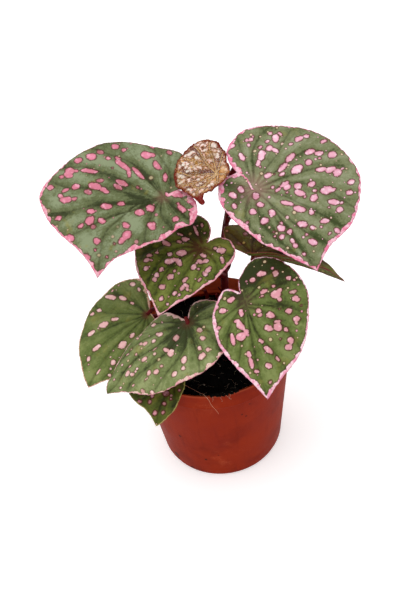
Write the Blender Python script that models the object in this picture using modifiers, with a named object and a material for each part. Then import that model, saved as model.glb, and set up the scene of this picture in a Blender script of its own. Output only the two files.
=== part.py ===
# Potted begonia: a plastic nursery pot filled with soil, an upright stem and nine spotted leaves on their
# petioles. The origin is the centre of the pot's base, +Z is up and the pot's front faces -Y.
# Sizes are in millimetres here and become metres where a mesh or a curve is made.

import math

import bmesh
import bpy
from mathutils import Matrix, Vector

MM = 0.001
GAP = 0.3
STEM_CLEARANCE = 0.6

# Pot
POT_HEIGHT = 110.0
MOUTH_RADIUS = 60.0
BASE_RADIUS = 46.3
WALL = 1.4
RIM_BAND_HEIGHT = 14.0
RIM_BAND_STEP = 1.2
LIP_ROUND = 0.5
BASE_ROUND = 1.6
DRAIN_HOLE_RADIUS = 4.0
DRAIN_HOLE_RING = 27.0
DRAIN_HOLE_COUNT = 6
ROUND_STEPS = 56

# Soil
SOIL_EDGE_HEIGHT = 95.0
SOIL_CROWN_HEIGHT = 97.0
SOIL_RING_RADII = (50.0, 40.0, 28.0, 14.0)
SOIL_UNEVEN = 0.7
HOLE_DEPTH = 14.0
HOLE_SIDES = 24
SOIL_EXITS = (91.0, 98.5, 102.0)

# Upright stem, rising from the back half of the soil: its axis, bottom to top
STEM_RADIUS = 3.3
STEM_TOP_RADIUS = 2.7
STEM_AXIS = ((15.5, 43, 84), (15.5, 43, 97), (15.7, 43.4, 109), (16.4, 45, 122), (17.4, 47, 134))

# Leaves and petioles
BLADE_THICKNESS = 0.8
RING_FRACTIONS = (0.16, 0.36, 0.56, 0.75, 0.89, 1.0)
SPOKES_PER_VEIN = 4
PETIOLE_RADIUS = 1.9
PETIOLE_TOP_RADIUS = 1.4
PETIOLE_NECK = 2.5
PETIOLE_START = 3.0
PETIOLE_LIFT = 50.0
PATH_STEPS = 4
TUBE_RESOLUTION = 2

# Each leaf: "foot" is where the petiole meets the blade, "heading" the compass heading of its tip,
# "droop" and "roll" tilt it, tip down and right half down. Each half may "lift" at the midrib (right, left).
# The blade bends by "arch" over each half (right, left) and by "bend" along it (to the tip, to the lobes),
# in degrees for each 100 mm. "right" and "left" are the margin's points from tip to sinus, seen from above
# with the petiole at (0, 0) and the tip at +Y. "veins" counts the side veins in each half, "pleat" is how
# high the blade swells between them, and "flutter" is the height and the number of the margin's waves.
# The petiole starts at "root", on the stem (height, direction) or in the soil (x, y), and passes "via".
LEAVES = {
    "upper_left": {
        "foot": (-19.5, 43.7, 205), "heading": -134, "droop": 9, "roll": -16,
        "lift": (0, 0), "arch": (17, 29), "bend": (29, 6),
        "right": ((0, 73.5), (19, 66), (39.5, 63.5), (59.5, 58.5), (76, 47), (79, 27), (75.5, 6.5),
                  (66.5, -12.5), (51, -25), (31.5, -32), (10.5, -37), (-4, -23.5), (-1.5, -4)),
        "left": ((0, 73.5), (-1, 60.5), (-6.5, 48), (-13.5, 37), (-20.5, 25), (-23.5, 14.5), (-28.5, 2),
                 (-21.5, -10), (-8, -12.5), (-1.5, -4)),
        "veins": (6, 4), "pleat": 1.6, "flutter": (0.8, 5), "colour": (0.13, 0.24, 0.10),
        "root": ("stem", 124, 150), "via": ((5, 54, 139), (-3, 59, 160), (-11, 58, 184)),
    },
    "upper_right": {
        "foot": (43.2, 38.8, 205), "heading": -62, "droop": 17, "roll": 14,
        "lift": (0, 0), "arch": (29, 20), "bend": (23, 6),
        "right": ((0, 73), (6.5, 60), (13, 47), (19.5, 34), (22.5, 20), (25, 6), (23.5, -8.5), (15, -19.5),
                  (1.5, -17.5)),
        "left": ((0, 73), (-17.5, 64), (-37, 60), (-54, 48.5), (-66.5, 32.5), (-70, 12), (-66, -7.5),
                 (-55.5, -25), (-38.5, -37.5), (-19.5, -45), (-2.5, -37), (1.5, -17.5)),
        "veins": (4, 6), "pleat": 1.4, "flutter": (0.8, 5), "colour": (0.14, 0.25, 0.11),
        "root": ("stem", 130, 55), "via": ((22, 51, 143), (21.4, 50, 157), (22.4, 49.5, 170), (26, 48, 187)),
    },
    "young": {
        "foot": (19.5, 52, 212), "heading": -125, "droop": 14, "roll": -10,
        "lift": (0, 0), "arch": (46, 52), "bend": (29, 11),
        "right": ((0, 26), (12, 22), (21.5, 19.5), (31, 3), (31.5, -10.5), (25.5, -23), (12, -25),
                  (1, -16.5), (-2, -5)),
        "left": ((0, 26), (0.5, 19), (-3, 13), (-6, 6.5), (-9, 0), (-7, -8), (-2, -5)),
        "veins": (5, 3), "pleat": 0.9, "flutter": (0.5, 6), "colour": (0.42, 0.24, 0.10),
        "root": ("stem_top",), "via": ((16.8, 50, 143), (19.9, 57, 158), (24, 59, 178), (23, 57.5, 196)),
    },
    "centre": {
        "foot": (1.7, 23.2, 172), "heading": -132, "droop": 14, "roll": -6,
        "lift": (0, 0), "arch": (23, 29), "bend": (34, 11),
        "right": ((0, 57), (13, 47.5), (27.5, 39.5), (39.5, 28.5), (47.5, 15), (45, -1), (36.5, -14),
                  (22, -22.5), (6, -19.5), (-1.5, -6)),
        "left": ((0, 57), (-7.5, 44.5), (-15, 32), (-21, 19), (-24.5, 5), (-22.5, -10), (-10.5, -15.5),
                 (-1.5, -6)),
        "veins": (5, 4), "pleat": 1.2, "flutter": (0.6, 5), "colour": (0.06, 0.13, 0.04),
        "root": ("stem", 128, -125), "via": ((9, 35.5, 142), (4, 29.5, 158)),
    },
    "front_right": {
        "foot": (26.2, -23.9, 161), "heading": -88, "droop": 20, "roll": 16,
        "lift": (0, 0), "arch": (46, 26), "bend": (29, 23),
        "right": ((0, 68.5), (7.5, 55.5), (15.5, 42.5), (22.5, 29.5), (25.5, 14.5), (23.5, 0), (11.5, -12.5),
                  (2, -6.5)),
        "left": ((0, 68.5), (-12.5, 57.5), (-25.5, 47.5), (-35, 34), (-40, 18.5), (-42, 2), (-36.5, -14),
                 (-26, -26), (-10.5, -29.5), (1, -17.5), (2, -6.5)),
        "veins": (4, 5), "pleat": 1.3, "flutter": (0.6, 5), "colour": (0.09, 0.17, 0.05),
        "root": ("soil", 9, 4), "via": ((10.5, 2.5, 113), (16, -7, 134), (22, -17, 149)),
    },
    "lower_left": {
        "foot": (-42.8, 14, 124), "heading": -137, "droop": 10, "roll": -2,
        "lift": (0, 0), "arch": (23, 23), "bend": (23, 17),
        "right": ((0, 68.5), (14.5, 60), (27, 49.5), (36.5, 36), (42.5, 21), (44.5, 5), (41, -11.5),
                  (28, -19), (13.5, -11.5), (0, -2)),
        "left": ((0, 68.5), (-8, 58.5), (-16.5, 49), (-22.5, 37.5), (-24, 24.5), (-21, 11.5), (-11.5, 3),
                 (0, -2)),
        "veins": (5, 4), "pleat": 1.2, "flutter": (0.6, 5), "colour": (0.11, 0.20, 0.06),
        "root": ("soil", -8, 9), "via": ((-13, 9.5, 107), (-26, 11.5, 114), (-37, 13.5, 121.5)),
    },
    "front_left": {
        "foot": (-14.1, -16.9, 140.5), "heading": -157, "droop": 13, "roll": 5,
        "lift": (0, 0), "arch": (57, 57), "bend": (29, 17),
        "right": ((0, 75), (9, 67.5), (13.5, 56.5), (20.5, 45.5), (22.5, 33), (24.5, 22), (25, 7.5), (14, 3),
                  (5.5, -1)),
        "left": ((0, 75), (-12.5, 63), (-26.5, 52), (-35, 35.5), (-39, 18.5), (-39, 0.5), (-32.5, -15),
                 (-16, -23.5), (1.5, -26.5), (14.5, -16), (5.5, -1)),
        "veins": (4, 6), "pleat": 1.5, "flutter": (0.6, 5), "colour": (0.11, 0.19, 0.07),
        "root": ("soil", 2, 1), "via": ((-0.5, -3, 112), (-7, -10, 126)),
    },
    "rim": {
        "foot": (-30.1, -44.8, 116.5), "heading": -120, "droop": 12, "roll": 0,
        "lift": (0, 0), "arch": (23, 29), "bend": (103, 6),
        "right": ((0, 34.5), (9, 26.5), (20, 22.5), (29.5, 14.5), (29, 3), (22.5, -7), (11.5, -10.5),
                  (1.5, -3.5)),
        "left": ((0, 34.5), (-6, 27.5), (-10, 19), (-11, 9.5), (-10, 0.5), (-4.5, -7.5), (1.5, -3.5)),
        "veins": (4, 3), "pleat": 0.7, "flutter": (0.4, 4), "colour": (0.08, 0.14, 0.04),
        "root": ("soil", -7, -6), "via": ((-10.5, -14, 104.5), (-18, -27, 106.5), (-26.5, -40, 109)),
    },
    "behind_right": {
        "foot": (37, 15.2, 167), "heading": -8, "droop": 12, "roll": 0,
        "lift": (58, 5), "arch": (23, 23), "bend": (34, 17),
        "right": ((0, 70), (5, 60), (11, 46), (15, 32), (15, 17), (10, 3), (4, -5), (0, -2)),
        "left": ((0, 70), (-9, 56.5), (-16.5, 41.5), (-23, 26), (-27, 10), (-27, -9), (-20, -19), (-9, -16.5),
                 (0, -2)),
        "veins": (4, 4), "pleat": 1.0, "flutter": (0.5, 5), "colour": (0.05, 0.06, 0.02),
        "root": ("soil", 30, 28), "via": ((36, 32, 115), (41, 34, 136), (41.5, 33, 150), (40.5, 26, 161)),
    },
}

POT_COLOUR = (0.33, 0.045, 0.025)
SOIL_COLOUR = (0.012, 0.011, 0.010)
STEM_COLOUR = (0.075, 0.010, 0.012)


def clear_scene():
    for thing in list(bpy.data.objects):
        bpy.data.objects.remove(thing, do_unlink=True)


def make_collection(name):
    collection = bpy.data.collections.new(name)
    bpy.context.scene.collection.children.link(collection)
    return collection


def make_material(name, colour, roughness):
    material = bpy.data.materials.new(name)
    material.use_nodes = True
    shader = material.node_tree.nodes["Principled BSDF"]
    shader.inputs["Base Color"].default_value = (*colour, 1.0)
    shader.inputs["Roughness"].default_value = roughness
    shader.inputs["Metallic"].default_value = 0.0
    return material


def add_object(name, data, collection, material=None):
    thing = bpy.data.objects.new(name, data)
    collection.objects.link(thing)
    if material:
        data.materials.append(material)
    return thing


def smooth_path(points, steps):
    """A smooth curve through the points, with the given number of steps between two of them."""
    points = [Vector(point) for point in points]
    spans = [(stop - start).length for start, stop in zip(points, points[1:])]
    slopes = [(stop - start) / span for start, stop, span in zip(points, points[1:], spans)]
    turns = [(left * ahead + right * behind) / (ahead + behind)
             for left, right, behind, ahead in zip(slopes, slopes[1:], spans, spans[1:])]
    turns = [2 * slopes[0] - turns[0], *turns, 2 * slopes[-1] - turns[-1]]
    curve = []
    for start, stop, leaving, arriving, span in zip(points, points[1:], turns, turns[1:], spans):
        for step in range(steps):
            t = step / steps
            curve.append(start * (1 + 2 * t) * (1 - t) ** 2 + leaving * span * t * (1 - t) ** 2
                         + stop * t ** 2 * (3 - 2 * t) + arriving * span * t ** 2 * (t - 1))
    curve.append(points[-1])
    return curve


def along(path, fraction):
    """The point at a fraction of a path's own parameter."""
    place = fraction * (len(path) - 1)
    index = min(int(place), len(path) - 2)
    return path[index].lerp(path[index + 1], place - index)


def turned(name, profile, collection, material):
    """A solid of revolution. The profile is (radius, height) and starts on the axis or down the outer side."""
    mesh = bpy.data.meshes.new(name)
    vertices = [(radius * MM, 0.0, height * MM) for radius, height in profile]
    edges = [(index, index + 1) for index in range(len(vertices) - 1)]
    mesh.from_pydata(vertices, edges, [])
    thing = add_object(name, mesh, collection, material)
    screw = thing.modifiers.new("Turn", "SCREW")
    screw.steps = ROUND_STEPS
    screw.render_steps = ROUND_STEPS
    screw.use_merge_vertices = True
    screw.merge_threshold = 0.00001
    return thing


def outer_radius(height):
    """The radius of the pot's outer wall below the rim band."""
    return BASE_RADIUS + (MOUTH_RADIUS - RIM_BAND_STEP - BASE_RADIUS) * height / POT_HEIGHT


def pot_profile():
    band_bottom = POT_HEIGHT - RIM_BAND_HEIGHT
    floor = WALL + 0.6
    return [
        (0.0, floor),
        (BASE_RADIUS - WALL - BASE_ROUND, floor),
        (outer_radius(floor + BASE_ROUND) - WALL, floor + BASE_ROUND),
        (outer_radius(band_bottom + 1.0) - WALL, band_bottom + 1.0),
        (MOUTH_RADIUS - WALL, band_bottom + 2.0 * RIM_BAND_STEP + 1.0),
        (MOUTH_RADIUS - WALL, POT_HEIGHT - LIP_ROUND),
        (MOUTH_RADIUS - WALL + LIP_ROUND, POT_HEIGHT),
        (MOUTH_RADIUS - LIP_ROUND, POT_HEIGHT),
        (MOUTH_RADIUS, POT_HEIGHT - LIP_ROUND),
        (MOUTH_RADIUS - 0.3, band_bottom + 0.8),
        (MOUTH_RADIUS - 0.8, band_bottom),
        (outer_radius(band_bottom), band_bottom - 0.3),
        (outer_radius(BASE_ROUND), BASE_ROUND),
        (BASE_RADIUS - 0.3 * BASE_ROUND, 0.3 * BASE_ROUND),
        (BASE_RADIUS - BASE_ROUND, 0.0),
        (0.0, 0.0),
    ]


def make_cutter(name, radius, low, high, x, y, collection):
    mesh = bpy.data.meshes.new(name)
    form = bmesh.new()
    place = Matrix.Translation((x * MM, y * MM, (low + high) / 2 * MM))
    bmesh.ops.create_cone(form, cap_ends=True, segments=HOLE_SIDES, radius1=radius * MM, radius2=radius * MM,
                          depth=(high - low) * MM, matrix=place)
    form.to_mesh(mesh)
    form.free()
    cutter = add_object(name, mesh, collection)
    cutter.hide_render = True
    cutter.display_type = "WIRE"
    return cutter


def cut(thing, cutter):
    boolean = thing.modifiers.new(cutter.name, "BOOLEAN")
    boolean.operation = "DIFFERENCE"
    boolean.solver = "EXACT"
    boolean.object = cutter


def make_pot(parts, cutters):
    pot = turned("pot", pot_profile(), parts, make_material("pot_plastic", POT_COLOUR, 0.6))
    for index in range(DRAIN_HOLE_COUNT):
        angle = math.tau * index / DRAIN_HOLE_COUNT
        x, y = DRAIN_HOLE_RING * math.cos(angle), DRAIN_HOLE_RING * math.sin(angle)
        cut(pot, make_cutter(f"drain_cutter_{index + 1}", DRAIN_HOLE_RADIUS, -2.0, 5.0, x, y, cutters))
    return pot


def soil_profile():
    floor = WALL + 0.6 + GAP
    inner = [(radius - 0.35, height) for radius, height in pot_profile()[1:5]]
    rings = [(radius, SOIL_EDGE_HEIGHT + (SOIL_CROWN_HEIGHT - SOIL_EDGE_HEIGHT) * (1 - (radius / MOUTH_RADIUS) ** 2))
             for radius in SOIL_RING_RADII]
    edge = outer_radius(SOIL_EDGE_HEIGHT) - WALL - 0.35
    return [
        (0.0, SOIL_CROWN_HEIGHT),
        *reversed(rings),
        (edge, SOIL_EDGE_HEIGHT),
        (inner[1][0], inner[1][1] + GAP),
        (inner[0][0], floor),
        (0.0, floor),
    ]


def make_soil(parts, cutters, holes):
    """The soil, a little uneven on top, with a plain hole for each stem that stands in it."""
    profile = turned("soil_profile", soil_profile(), cutters, None)
    bpy.context.view_layer.update()
    turned_profile = profile.evaluated_get(bpy.context.evaluated_depsgraph_get())
    mesh = bpy.data.meshes.new_from_object(turned_profile)
    bpy.data.objects.remove(profile, do_unlink=True)
    mesh.name = "soil"
    for vertex in mesh.vertices:
        x, y, z = (value / MM for value in vertex.co)
        if z > SOIL_EDGE_HEIGHT - 1 and math.hypot(x, y) < SOIL_RING_RADII[0] + 1:
            swell = math.sin(0.21 * x + 1.0) * math.cos(0.17 * y) + 0.6 * math.sin(0.33 * y - 0.12 * x)
            vertex.co.z += SOIL_UNEVEN * swell * MM
    soil = add_object("soil", mesh, parts, make_material("potting_soil", SOIL_COLOUR, 0.95))
    for name, radius, x, y in holes:
        bottom = SOIL_EDGE_HEIGHT - HOLE_DEPTH
        cut(soil, make_cutter(f"hole_{name}", radius + GAP, bottom, SOIL_CROWN_HEIGHT + 5, x, y, cutters))
    return soil


def make_tube(name, path, radii, collection, material):
    """A tapering stem: a bevelled curve turned into a closed mesh."""
    curve = bpy.data.curves.new(name, "CURVE")
    curve.dimensions = "3D"
    curve.bevel_depth = MM
    curve.bevel_resolution = TUBE_RESOLUTION
    curve.use_fill_caps = True
    spline = curve.splines.new("POLY")
    spline.points.add(len(path) - 1)
    for index, (point, place) in enumerate(zip(spline.points, path)):
        fraction = index / (len(path) - 1)
        point.co = (*(place * MM), 1.0)
        point.radius = radii[0] + (radii[1] - radii[0]) * fraction
    guide = add_object(name + "_guide", curve, collection)
    bpy.context.view_layer.update()
    mesh = bpy.data.meshes.new_from_object(guide.evaluated_get(bpy.context.evaluated_depsgraph_get()))
    bpy.data.objects.remove(guide, do_unlink=True)
    form = bmesh.new()
    form.from_mesh(mesh)
    bmesh.ops.remove_doubles(form, verts=form.verts, dist=0.00001)
    form.to_mesh(mesh)
    form.free()
    mesh.materials.clear()
    tube = add_object(name, mesh, collection, material)
    mesh.shade_smooth()
    return tube


def stem_axis_at(height):
    for low, high in zip(STEM_AXIS, STEM_AXIS[1:]):
        if low[2] <= height <= high[2]:
            return Vector(low).lerp(Vector(high), (height - low[2]) / (high[2] - low[2]))
    return Vector(STEM_AXIS[-1])


def make_stem(parts, material):
    path = smooth_path(STEM_AXIS, PATH_STEPS)
    return make_tube("stem", path, (STEM_RADIUS, STEM_TOP_RADIUS), parts, material)


def petiole_start(root):
    """The first points of a petiole, slanting out of the stem, on from its top or up out of the soil."""
    if root[0] == "soil":
        x, y = root[1:]
        heights = (SOIL_EDGE_HEIGHT - HOLE_DEPTH + GAP, *SOIL_EXITS)
        return [Vector((x, y, height)) for height in heights]
    if root[0] == "stem_top":
        upward = (Vector(STEM_AXIS[-1]) - Vector(STEM_AXIS[-2])).normalized()
        top = Vector(STEM_AXIS[-1]) + upward * STEM_CLEARANCE
        return [top, top + upward * PETIOLE_START]
    height, direction = root[1:]
    lift = math.radians(PETIOLE_LIFT)
    outward = Vector((math.cos(math.radians(direction)), math.sin(math.radians(direction)), 0))
    base = stem_axis_at(height) + outward * (STEM_TOP_RADIUS + STEM_CLEARANCE + PETIOLE_RADIUS * math.sin(lift))
    return [base, base + (outward * math.cos(lift) + Vector((0, 0, math.sin(lift)))) * PETIOLE_START]


def blade_pose(leaf):
    turn = Matrix.Rotation(math.radians(leaf["heading"] - 90), 4, "Z")
    droop = Matrix.Rotation(math.radians(-leaf["droop"]), 4, "X")
    roll = Matrix.Rotation(math.radians(leaf["roll"]), 4, "Y")
    return Matrix.Translation(leaf["foot"]) @ turn @ droop @ roll


def bent(distance, start, rate):
    """How far a line reaches across and up when it starts at an angle and turns down at a steady rate."""
    if abs(rate) < 1e-6:
        return distance * math.cos(start), distance * math.sin(start)
    end = start - rate * distance
    return (math.sin(start) - math.sin(end)) / rate, (math.cos(end) - math.cos(start)) / rate


def blade_point(leaf, x, y, rise):
    """Where a point of the flat blade lies once the blade is lifted, arched and bent."""
    half = 0 if x > 0 else 1
    arch = math.radians(leaf["arch"][half]) / 100
    bend = math.radians(leaf["bend"][0 if y > 0 else 1]) / 100
    across, up = bent(abs(x), math.radians(leaf["lift"][half]), arch)
    forward, down = bent(abs(y), 0.0, bend)
    lean = bend * y
    up += rise
    return Vector((math.copysign(across, x), math.copysign(forward, y) + up * math.sin(lean),
                   down + up * math.cos(lean)))


def make_blade(name, leaf, parts, material):
    """A blade of spokes from the petiole to the margin, crossed by rings, given its thickness by Solidify."""
    form = bmesh.new()
    centre = form.verts.new((0.0, 0.0, 0.0))
    waves, count = leaf["flutter"]
    rims = []
    for side, sign in (("right", 1), ("left", -1)):
        margin = smooth_path([Vector((*point, 0)) for point in leaf[side]], 8)
        veins = leaf["veins"][0 if side == "right" else 1]
        spokes = veins * SPOKES_PER_VEIN
        run = []
        for index in range(spokes + 1):
            t = index / spokes
            swell = leaf["pleat"] * math.sin(math.pi * veins * t) ** 2
            wave = sign * waves * math.sin(math.tau * count * t)
            edge = along(margin, t)
            ring = []
            for fraction in RING_FRACTIONS:
                rise = 4 * swell * fraction * (1 - fraction) + wave * fraction ** 3
                ring.append(blade_point(leaf, edge.x * fraction, edge.y * fraction, rise))
            run.append(ring)
        rims.append(run)
    right, left = rims
    loop = right + list(reversed(left))[1:-1]
    rows = [[form.verts.new(point * MM) for point in ring] for ring in loop]
    for here, there in zip(rows, rows[1:] + rows[:1]):
        form.faces.new((centre, there[0], here[0]))
        for inner in range(len(RING_FRACTIONS) - 1):
            form.faces.new((here[inner], there[inner], there[inner + 1]))
            form.faces.new((here[inner], there[inner + 1], here[inner + 1]))
    bmesh.ops.recalc_face_normals(form, faces=form.faces)
    if sum(face.normal.z for face in form.faces) < 0:
        bmesh.ops.reverse_faces(form, faces=form.faces)
    mesh = bpy.data.meshes.new(name)
    pose = blade_pose(leaf)
    pose.translation *= MM
    bmesh.ops.transform(form, matrix=pose, verts=form.verts)
    form.to_mesh(mesh)
    form.free()
    mesh.shade_smooth()
    blade = add_object(name, mesh, parts, material)
    solid = blade.modifiers.new("Thickness", "SOLIDIFY")
    solid.thickness = BLADE_THICKNESS * MM
    solid.offset = -1.0
    return blade


def make_petiole(name, leaf, parts, material):
    pose = blade_pose(leaf)
    normal = (pose.to_3x3() @ Vector((0, 0, 1))).normalized()
    tip = Vector(leaf["foot"]) - normal * (BLADE_THICKNESS + GAP)
    points = [*petiole_start(leaf["root"]), *(Vector(point) for point in leaf["via"]),
              tip - normal * PETIOLE_NECK, tip - normal * PETIOLE_NECK / 3, tip]
    return make_tube(name, smooth_path(points, PATH_STEPS), (PETIOLE_RADIUS, PETIOLE_TOP_RADIUS), parts, material)


def main():
    clear_scene()
    parts = make_collection("potted_begonia")
    cutters = make_collection("cutters")
    stem_material = make_material("stem_maroon", STEM_COLOUR, 0.45)
    holes = [("stem", STEM_RADIUS, *STEM_AXIS[0][:2])]
    holes += [(name, PETIOLE_RADIUS, *leaf["root"][1:]) for name, leaf in LEAVES.items() if leaf["root"][0] == "soil"]
    make_pot(parts, cutters)
    make_soil(parts, cutters, holes)
    make_stem(parts, stem_material)
    for name, leaf in LEAVES.items():
        make_petiole(f"petiole_{name}", leaf, parts, stem_material)
        make_blade(f"leaf_{name}", leaf, parts, make_material(f"blade_{name}", leaf["colour"], 0.5))


main()
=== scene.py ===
import math

import bmesh
import bpy
import numpy as np
from mathutils import Matrix, Vector, kdtree, noise
from mathutils.geometry import delaunay_2d_cdt


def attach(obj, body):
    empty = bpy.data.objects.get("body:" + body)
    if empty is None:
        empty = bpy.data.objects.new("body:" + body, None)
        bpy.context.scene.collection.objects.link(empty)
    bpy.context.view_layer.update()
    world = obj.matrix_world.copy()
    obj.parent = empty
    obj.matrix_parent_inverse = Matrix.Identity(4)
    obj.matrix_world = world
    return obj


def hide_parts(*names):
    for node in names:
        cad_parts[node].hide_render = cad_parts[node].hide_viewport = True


mm = 0.001

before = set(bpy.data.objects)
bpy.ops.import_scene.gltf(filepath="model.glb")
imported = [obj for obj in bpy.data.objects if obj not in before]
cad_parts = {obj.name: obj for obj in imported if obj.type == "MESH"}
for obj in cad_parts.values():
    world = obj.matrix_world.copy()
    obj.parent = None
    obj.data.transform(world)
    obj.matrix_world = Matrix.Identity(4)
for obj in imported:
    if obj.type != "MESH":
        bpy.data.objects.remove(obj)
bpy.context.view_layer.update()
print("frame loaded:", len(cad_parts), "nodes")


# small helpers: meshes and pieces

def smoothPath(points, steps):
    points = [Vector(point) for point in points]
    spans = [(stop - start).length for start, stop in zip(points, points[1:])]
    slopes = [(stop - start) / span for start, stop, span in zip(points, points[1:], spans)]
    turns = [(left * ahead + right * behind) / (ahead + behind)
             for left, right, behind, ahead in zip(slopes, slopes[1:], spans, spans[1:])]
    first, last = (2 * slopes[0] - turns[0], 2 * slopes[-1] - turns[-1]) if turns else (slopes[0], slopes[0])
    turns = [first, *turns, last]
    curve = []
    for start, stop, leaving, arriving, span in zip(points, points[1:], turns, turns[1:], spans):
        for step in range(steps):
            t = step / steps
            curve.append(start * (1 + 2 * t) * (1 - t) ** 2 + leaving * span * t * (1 - t) ** 2
                         + stop * t ** 2 * (3 - 2 * t) + arriving * span * t ** 2 * (t - 1))
    return [*curve, points[-1]]


def newMesh(name, verts, faces=()):
    mesh = bpy.data.meshes.new(name)
    mesh.from_pydata([[value * mm for value in vert] for vert in verts], [], faces)
    return mesh


def addPiece(name, mesh, materials=()):
    for material in materials:
        mesh.materials.append(material)
    piece = bpy.data.objects.new(name, mesh)
    bpy.context.scene.collection.objects.link(piece)
    return piece


def polyLine(name, points, closed=False):
    curve = bpy.data.curves.new(name, "CURVE")
    curve.dimensions = "3D"
    spline = curve.splines.new("POLY")
    spline.points.add(len(points) - 1)
    for point, spot in zip(spline.points, points):
        point.co = (*(value * mm for value in spot), 1.0)
    spline.use_cyclic_u = closed
    return addPiece(name, curve)


def grown(name, base, tree, values):
    # runs a node tree on a base object and keeps the result as a plain mesh
    modifier = base.modifiers.new(tree.name, "NODES")
    modifier.node_group = tree
    for socket in tree.interface.items_tree:
        if socket.in_out == "INPUT" and socket.name in values:
            modifier[socket.identifier] = values[socket.name]
    mesh = bpy.data.meshes.new_from_object(base.evaluated_get(bpy.context.evaluated_depsgraph_get()))
    mesh.name = name
    bpy.data.objects.remove(base, do_unlink=True)
    return addPiece(name, mesh)


def place(piece, slotName, *nodes):
    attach(piece, "root")
    if nodes:
        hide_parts(*nodes)


# small helpers: nodes. Each one adds its node to the tree of the values that it is given

def addNode(tree, kind, sockets=(), **settings):
    # a node that is given as a value stands for its first output
    made = tree.nodes.new(kind)
    for key, value in settings.items():
        setattr(made, key, value)
    for key, value in dict(sockets).items():
        if isinstance(value, bpy.types.Node):
            value = value.outputs[0]
        if isinstance(value, bpy.types.NodeSocket):
            tree.links.new(value, made.inputs[key])
        else:
            made.inputs[key].default_value = value
    return made


def sums(operation, *values):
    tree = next(value.id_data for value in values if hasattr(value, "id_data"))
    return addNode(tree, "ShaderNodeMath", enumerate(values), operation=operation).outputs[0]


def times(first, *others):
    for value in others:
        first = sums("MULTIPLY", first, value)
    return first


def piled(first, *others):
    # adds up values, each of the others times its own factor
    for value, factor in others:
        first = sums("MULTIPLY_ADD", value, factor, first)
    return first


def centred(value, factor, other):
    # other + factor * (value - 0.5)
    return piled(other, (sums("SUBTRACT", value, 0.5), factor))


def vectors(operation, first, second=(0, 0, 0), scale=1.0):
    made = addNode(first.id_data, "ShaderNodeVectorMath", {0: first, 1: second, 3: scale},
                   operation=operation)
    return made.outputs["Value" if operation in ("LENGTH", "DISTANCE") else "Vector"]


def fade(value, start, stop, low=0.0, high=1.0):
    # low at start, high at stop, eased between them
    return addNode(value.id_data, "ShaderNodeMapRange", {0: value, 1: start, 2: stop, 3: low, 4: high},
                   interpolation_type="SMOOTHSTEP").outputs[0]


def grain(vector, scale, detail, roughness, seed=0.0):
    return addNode(vector.id_data, "ShaderNodeTexNoise",
                   {"Vector": vector, "W": seed, "Scale": scale, "Detail": detail, "Roughness": roughness},
                   noise_dimensions="4D").outputs[0]


def cellular(vector, scale, dimensions="2D"):
    # how far the nearest cell's middle is, and three numbers between 0 and 1 that the cell drew
    tree = vector.id_data
    cells = addNode(tree, "ShaderNodeTexVoronoi", {"Vector": vector, "Scale": scale, "Randomness": 1.0},
                    voronoi_dimensions=dimensions)
    drawn = addNode(tree, "ShaderNodeSeparateXYZ", {0: cells.outputs["Color"]})
    return cells.outputs["Distance"], *drawn.outputs[:3]


def paint(colour):
    return (*((value / 255) ** 2.2 for value in colour), 1.0)


def coats(colour, look, *layers):
    # lays colours over the first one: how much of each shows, and the colour or its name in the look
    for factor, layer in layers:
        below, above = (paint(shade) if isinstance(shade, tuple) else shade
                        for shade in (colour, look[layer] if isinstance(layer, str) else layer))
        colour = addNode(factor.id_data, "ShaderNodeMix", {0: factor, 6: below, 7: above},
                         data_type="RGBA").outputs[2]
    return colour


def newMaterial(name, roughness, gloss, colour=(128, 128, 128)):
    material = bpy.data.materials.new(name)
    material.use_nodes = True
    shader = material.node_tree.nodes["Principled BSDF"]
    shader.inputs["Roughness"].default_value = roughness
    shader.inputs["Specular IOR Level"].default_value = gloss
    shader.inputs["Base Color"].default_value = paint(colour)
    return material


def painted(material, colour, relief, depth, roughness=None):
    tree = material.node_tree
    bump = addNode(tree, "ShaderNodeBump", {"Strength": 1.0, "Distance": depth * mm, "Height": relief})
    for name, value in (("Base Color", colour), ("Normal", bump.outputs[0]), ("Roughness", roughness)):
        if value is not None:
            tree.links.new(value, tree.nodes["Principled BSDF"].inputs[name])
    return material


def objectSpot(material):
    return addNode(material.node_tree, "ShaderNodeTexCoord").outputs["Object"]


def readings(material, *names):
    tree = material.node_tree
    return [addNode(tree, "ShaderNodeAttribute", attribute_name=name).outputs["Fac"] for name in names]


# node trees that several pieces share

def newTree(name, **labels):
    # the inputs' names are given by kind, with commas between them
    tree = bpy.data.node_groups.new(name, "GeometryNodeTree")
    for way in ("INPUT", "OUTPUT"):
        tree.interface.new_socket("Geometry", in_out=way, socket_type="NodeSocketGeometry")
    for kind, names in labels.items():
        for label in names.split(", "):
            tree.interface.new_socket(label, in_out="INPUT", socket_type="NodeSocket" + kind)
    return tree, tree.nodes.new("NodeGroupInput").outputs


def pointsOn(surface, density, seed):
    return addNode(surface.id_data, "GeometryNodeDistributePointsOnFaces",
                   {"Mesh": surface, "Density": density, "Seed": seed})


def randomVector(tree, low, high, seed):
    return addNode(tree, "FunctionNodeRandomValue", {0: low, 1: high, "Seed": seed},
                   data_type="FLOAT_VECTOR").outputs[0]


def randomSize(tree, low, high, seed):
    return addNode(tree, "FunctionNodeRandomValue", {2: low, 3: high, "Seed": seed}).outputs[1]


def strewn(points, instance, rotation, scale):
    put = addNode(points.id_data, "GeometryNodeInstanceOnPoints",
                  {"Points": points, "Instance": instance, "Rotation": rotation, "Scale": scale})
    return addNode(points.id_data, "GeometryNodeRealizeInstances", {0: put})


def coloured(geometry, material):
    return addNode(geometry.id_data, "GeometryNodeSetMaterial", {"Geometry": geometry, "Material": material})


def closed(tree, geometry):
    addNode(tree, "NodeGroupOutput", {0: geometry})
    return tree


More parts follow.
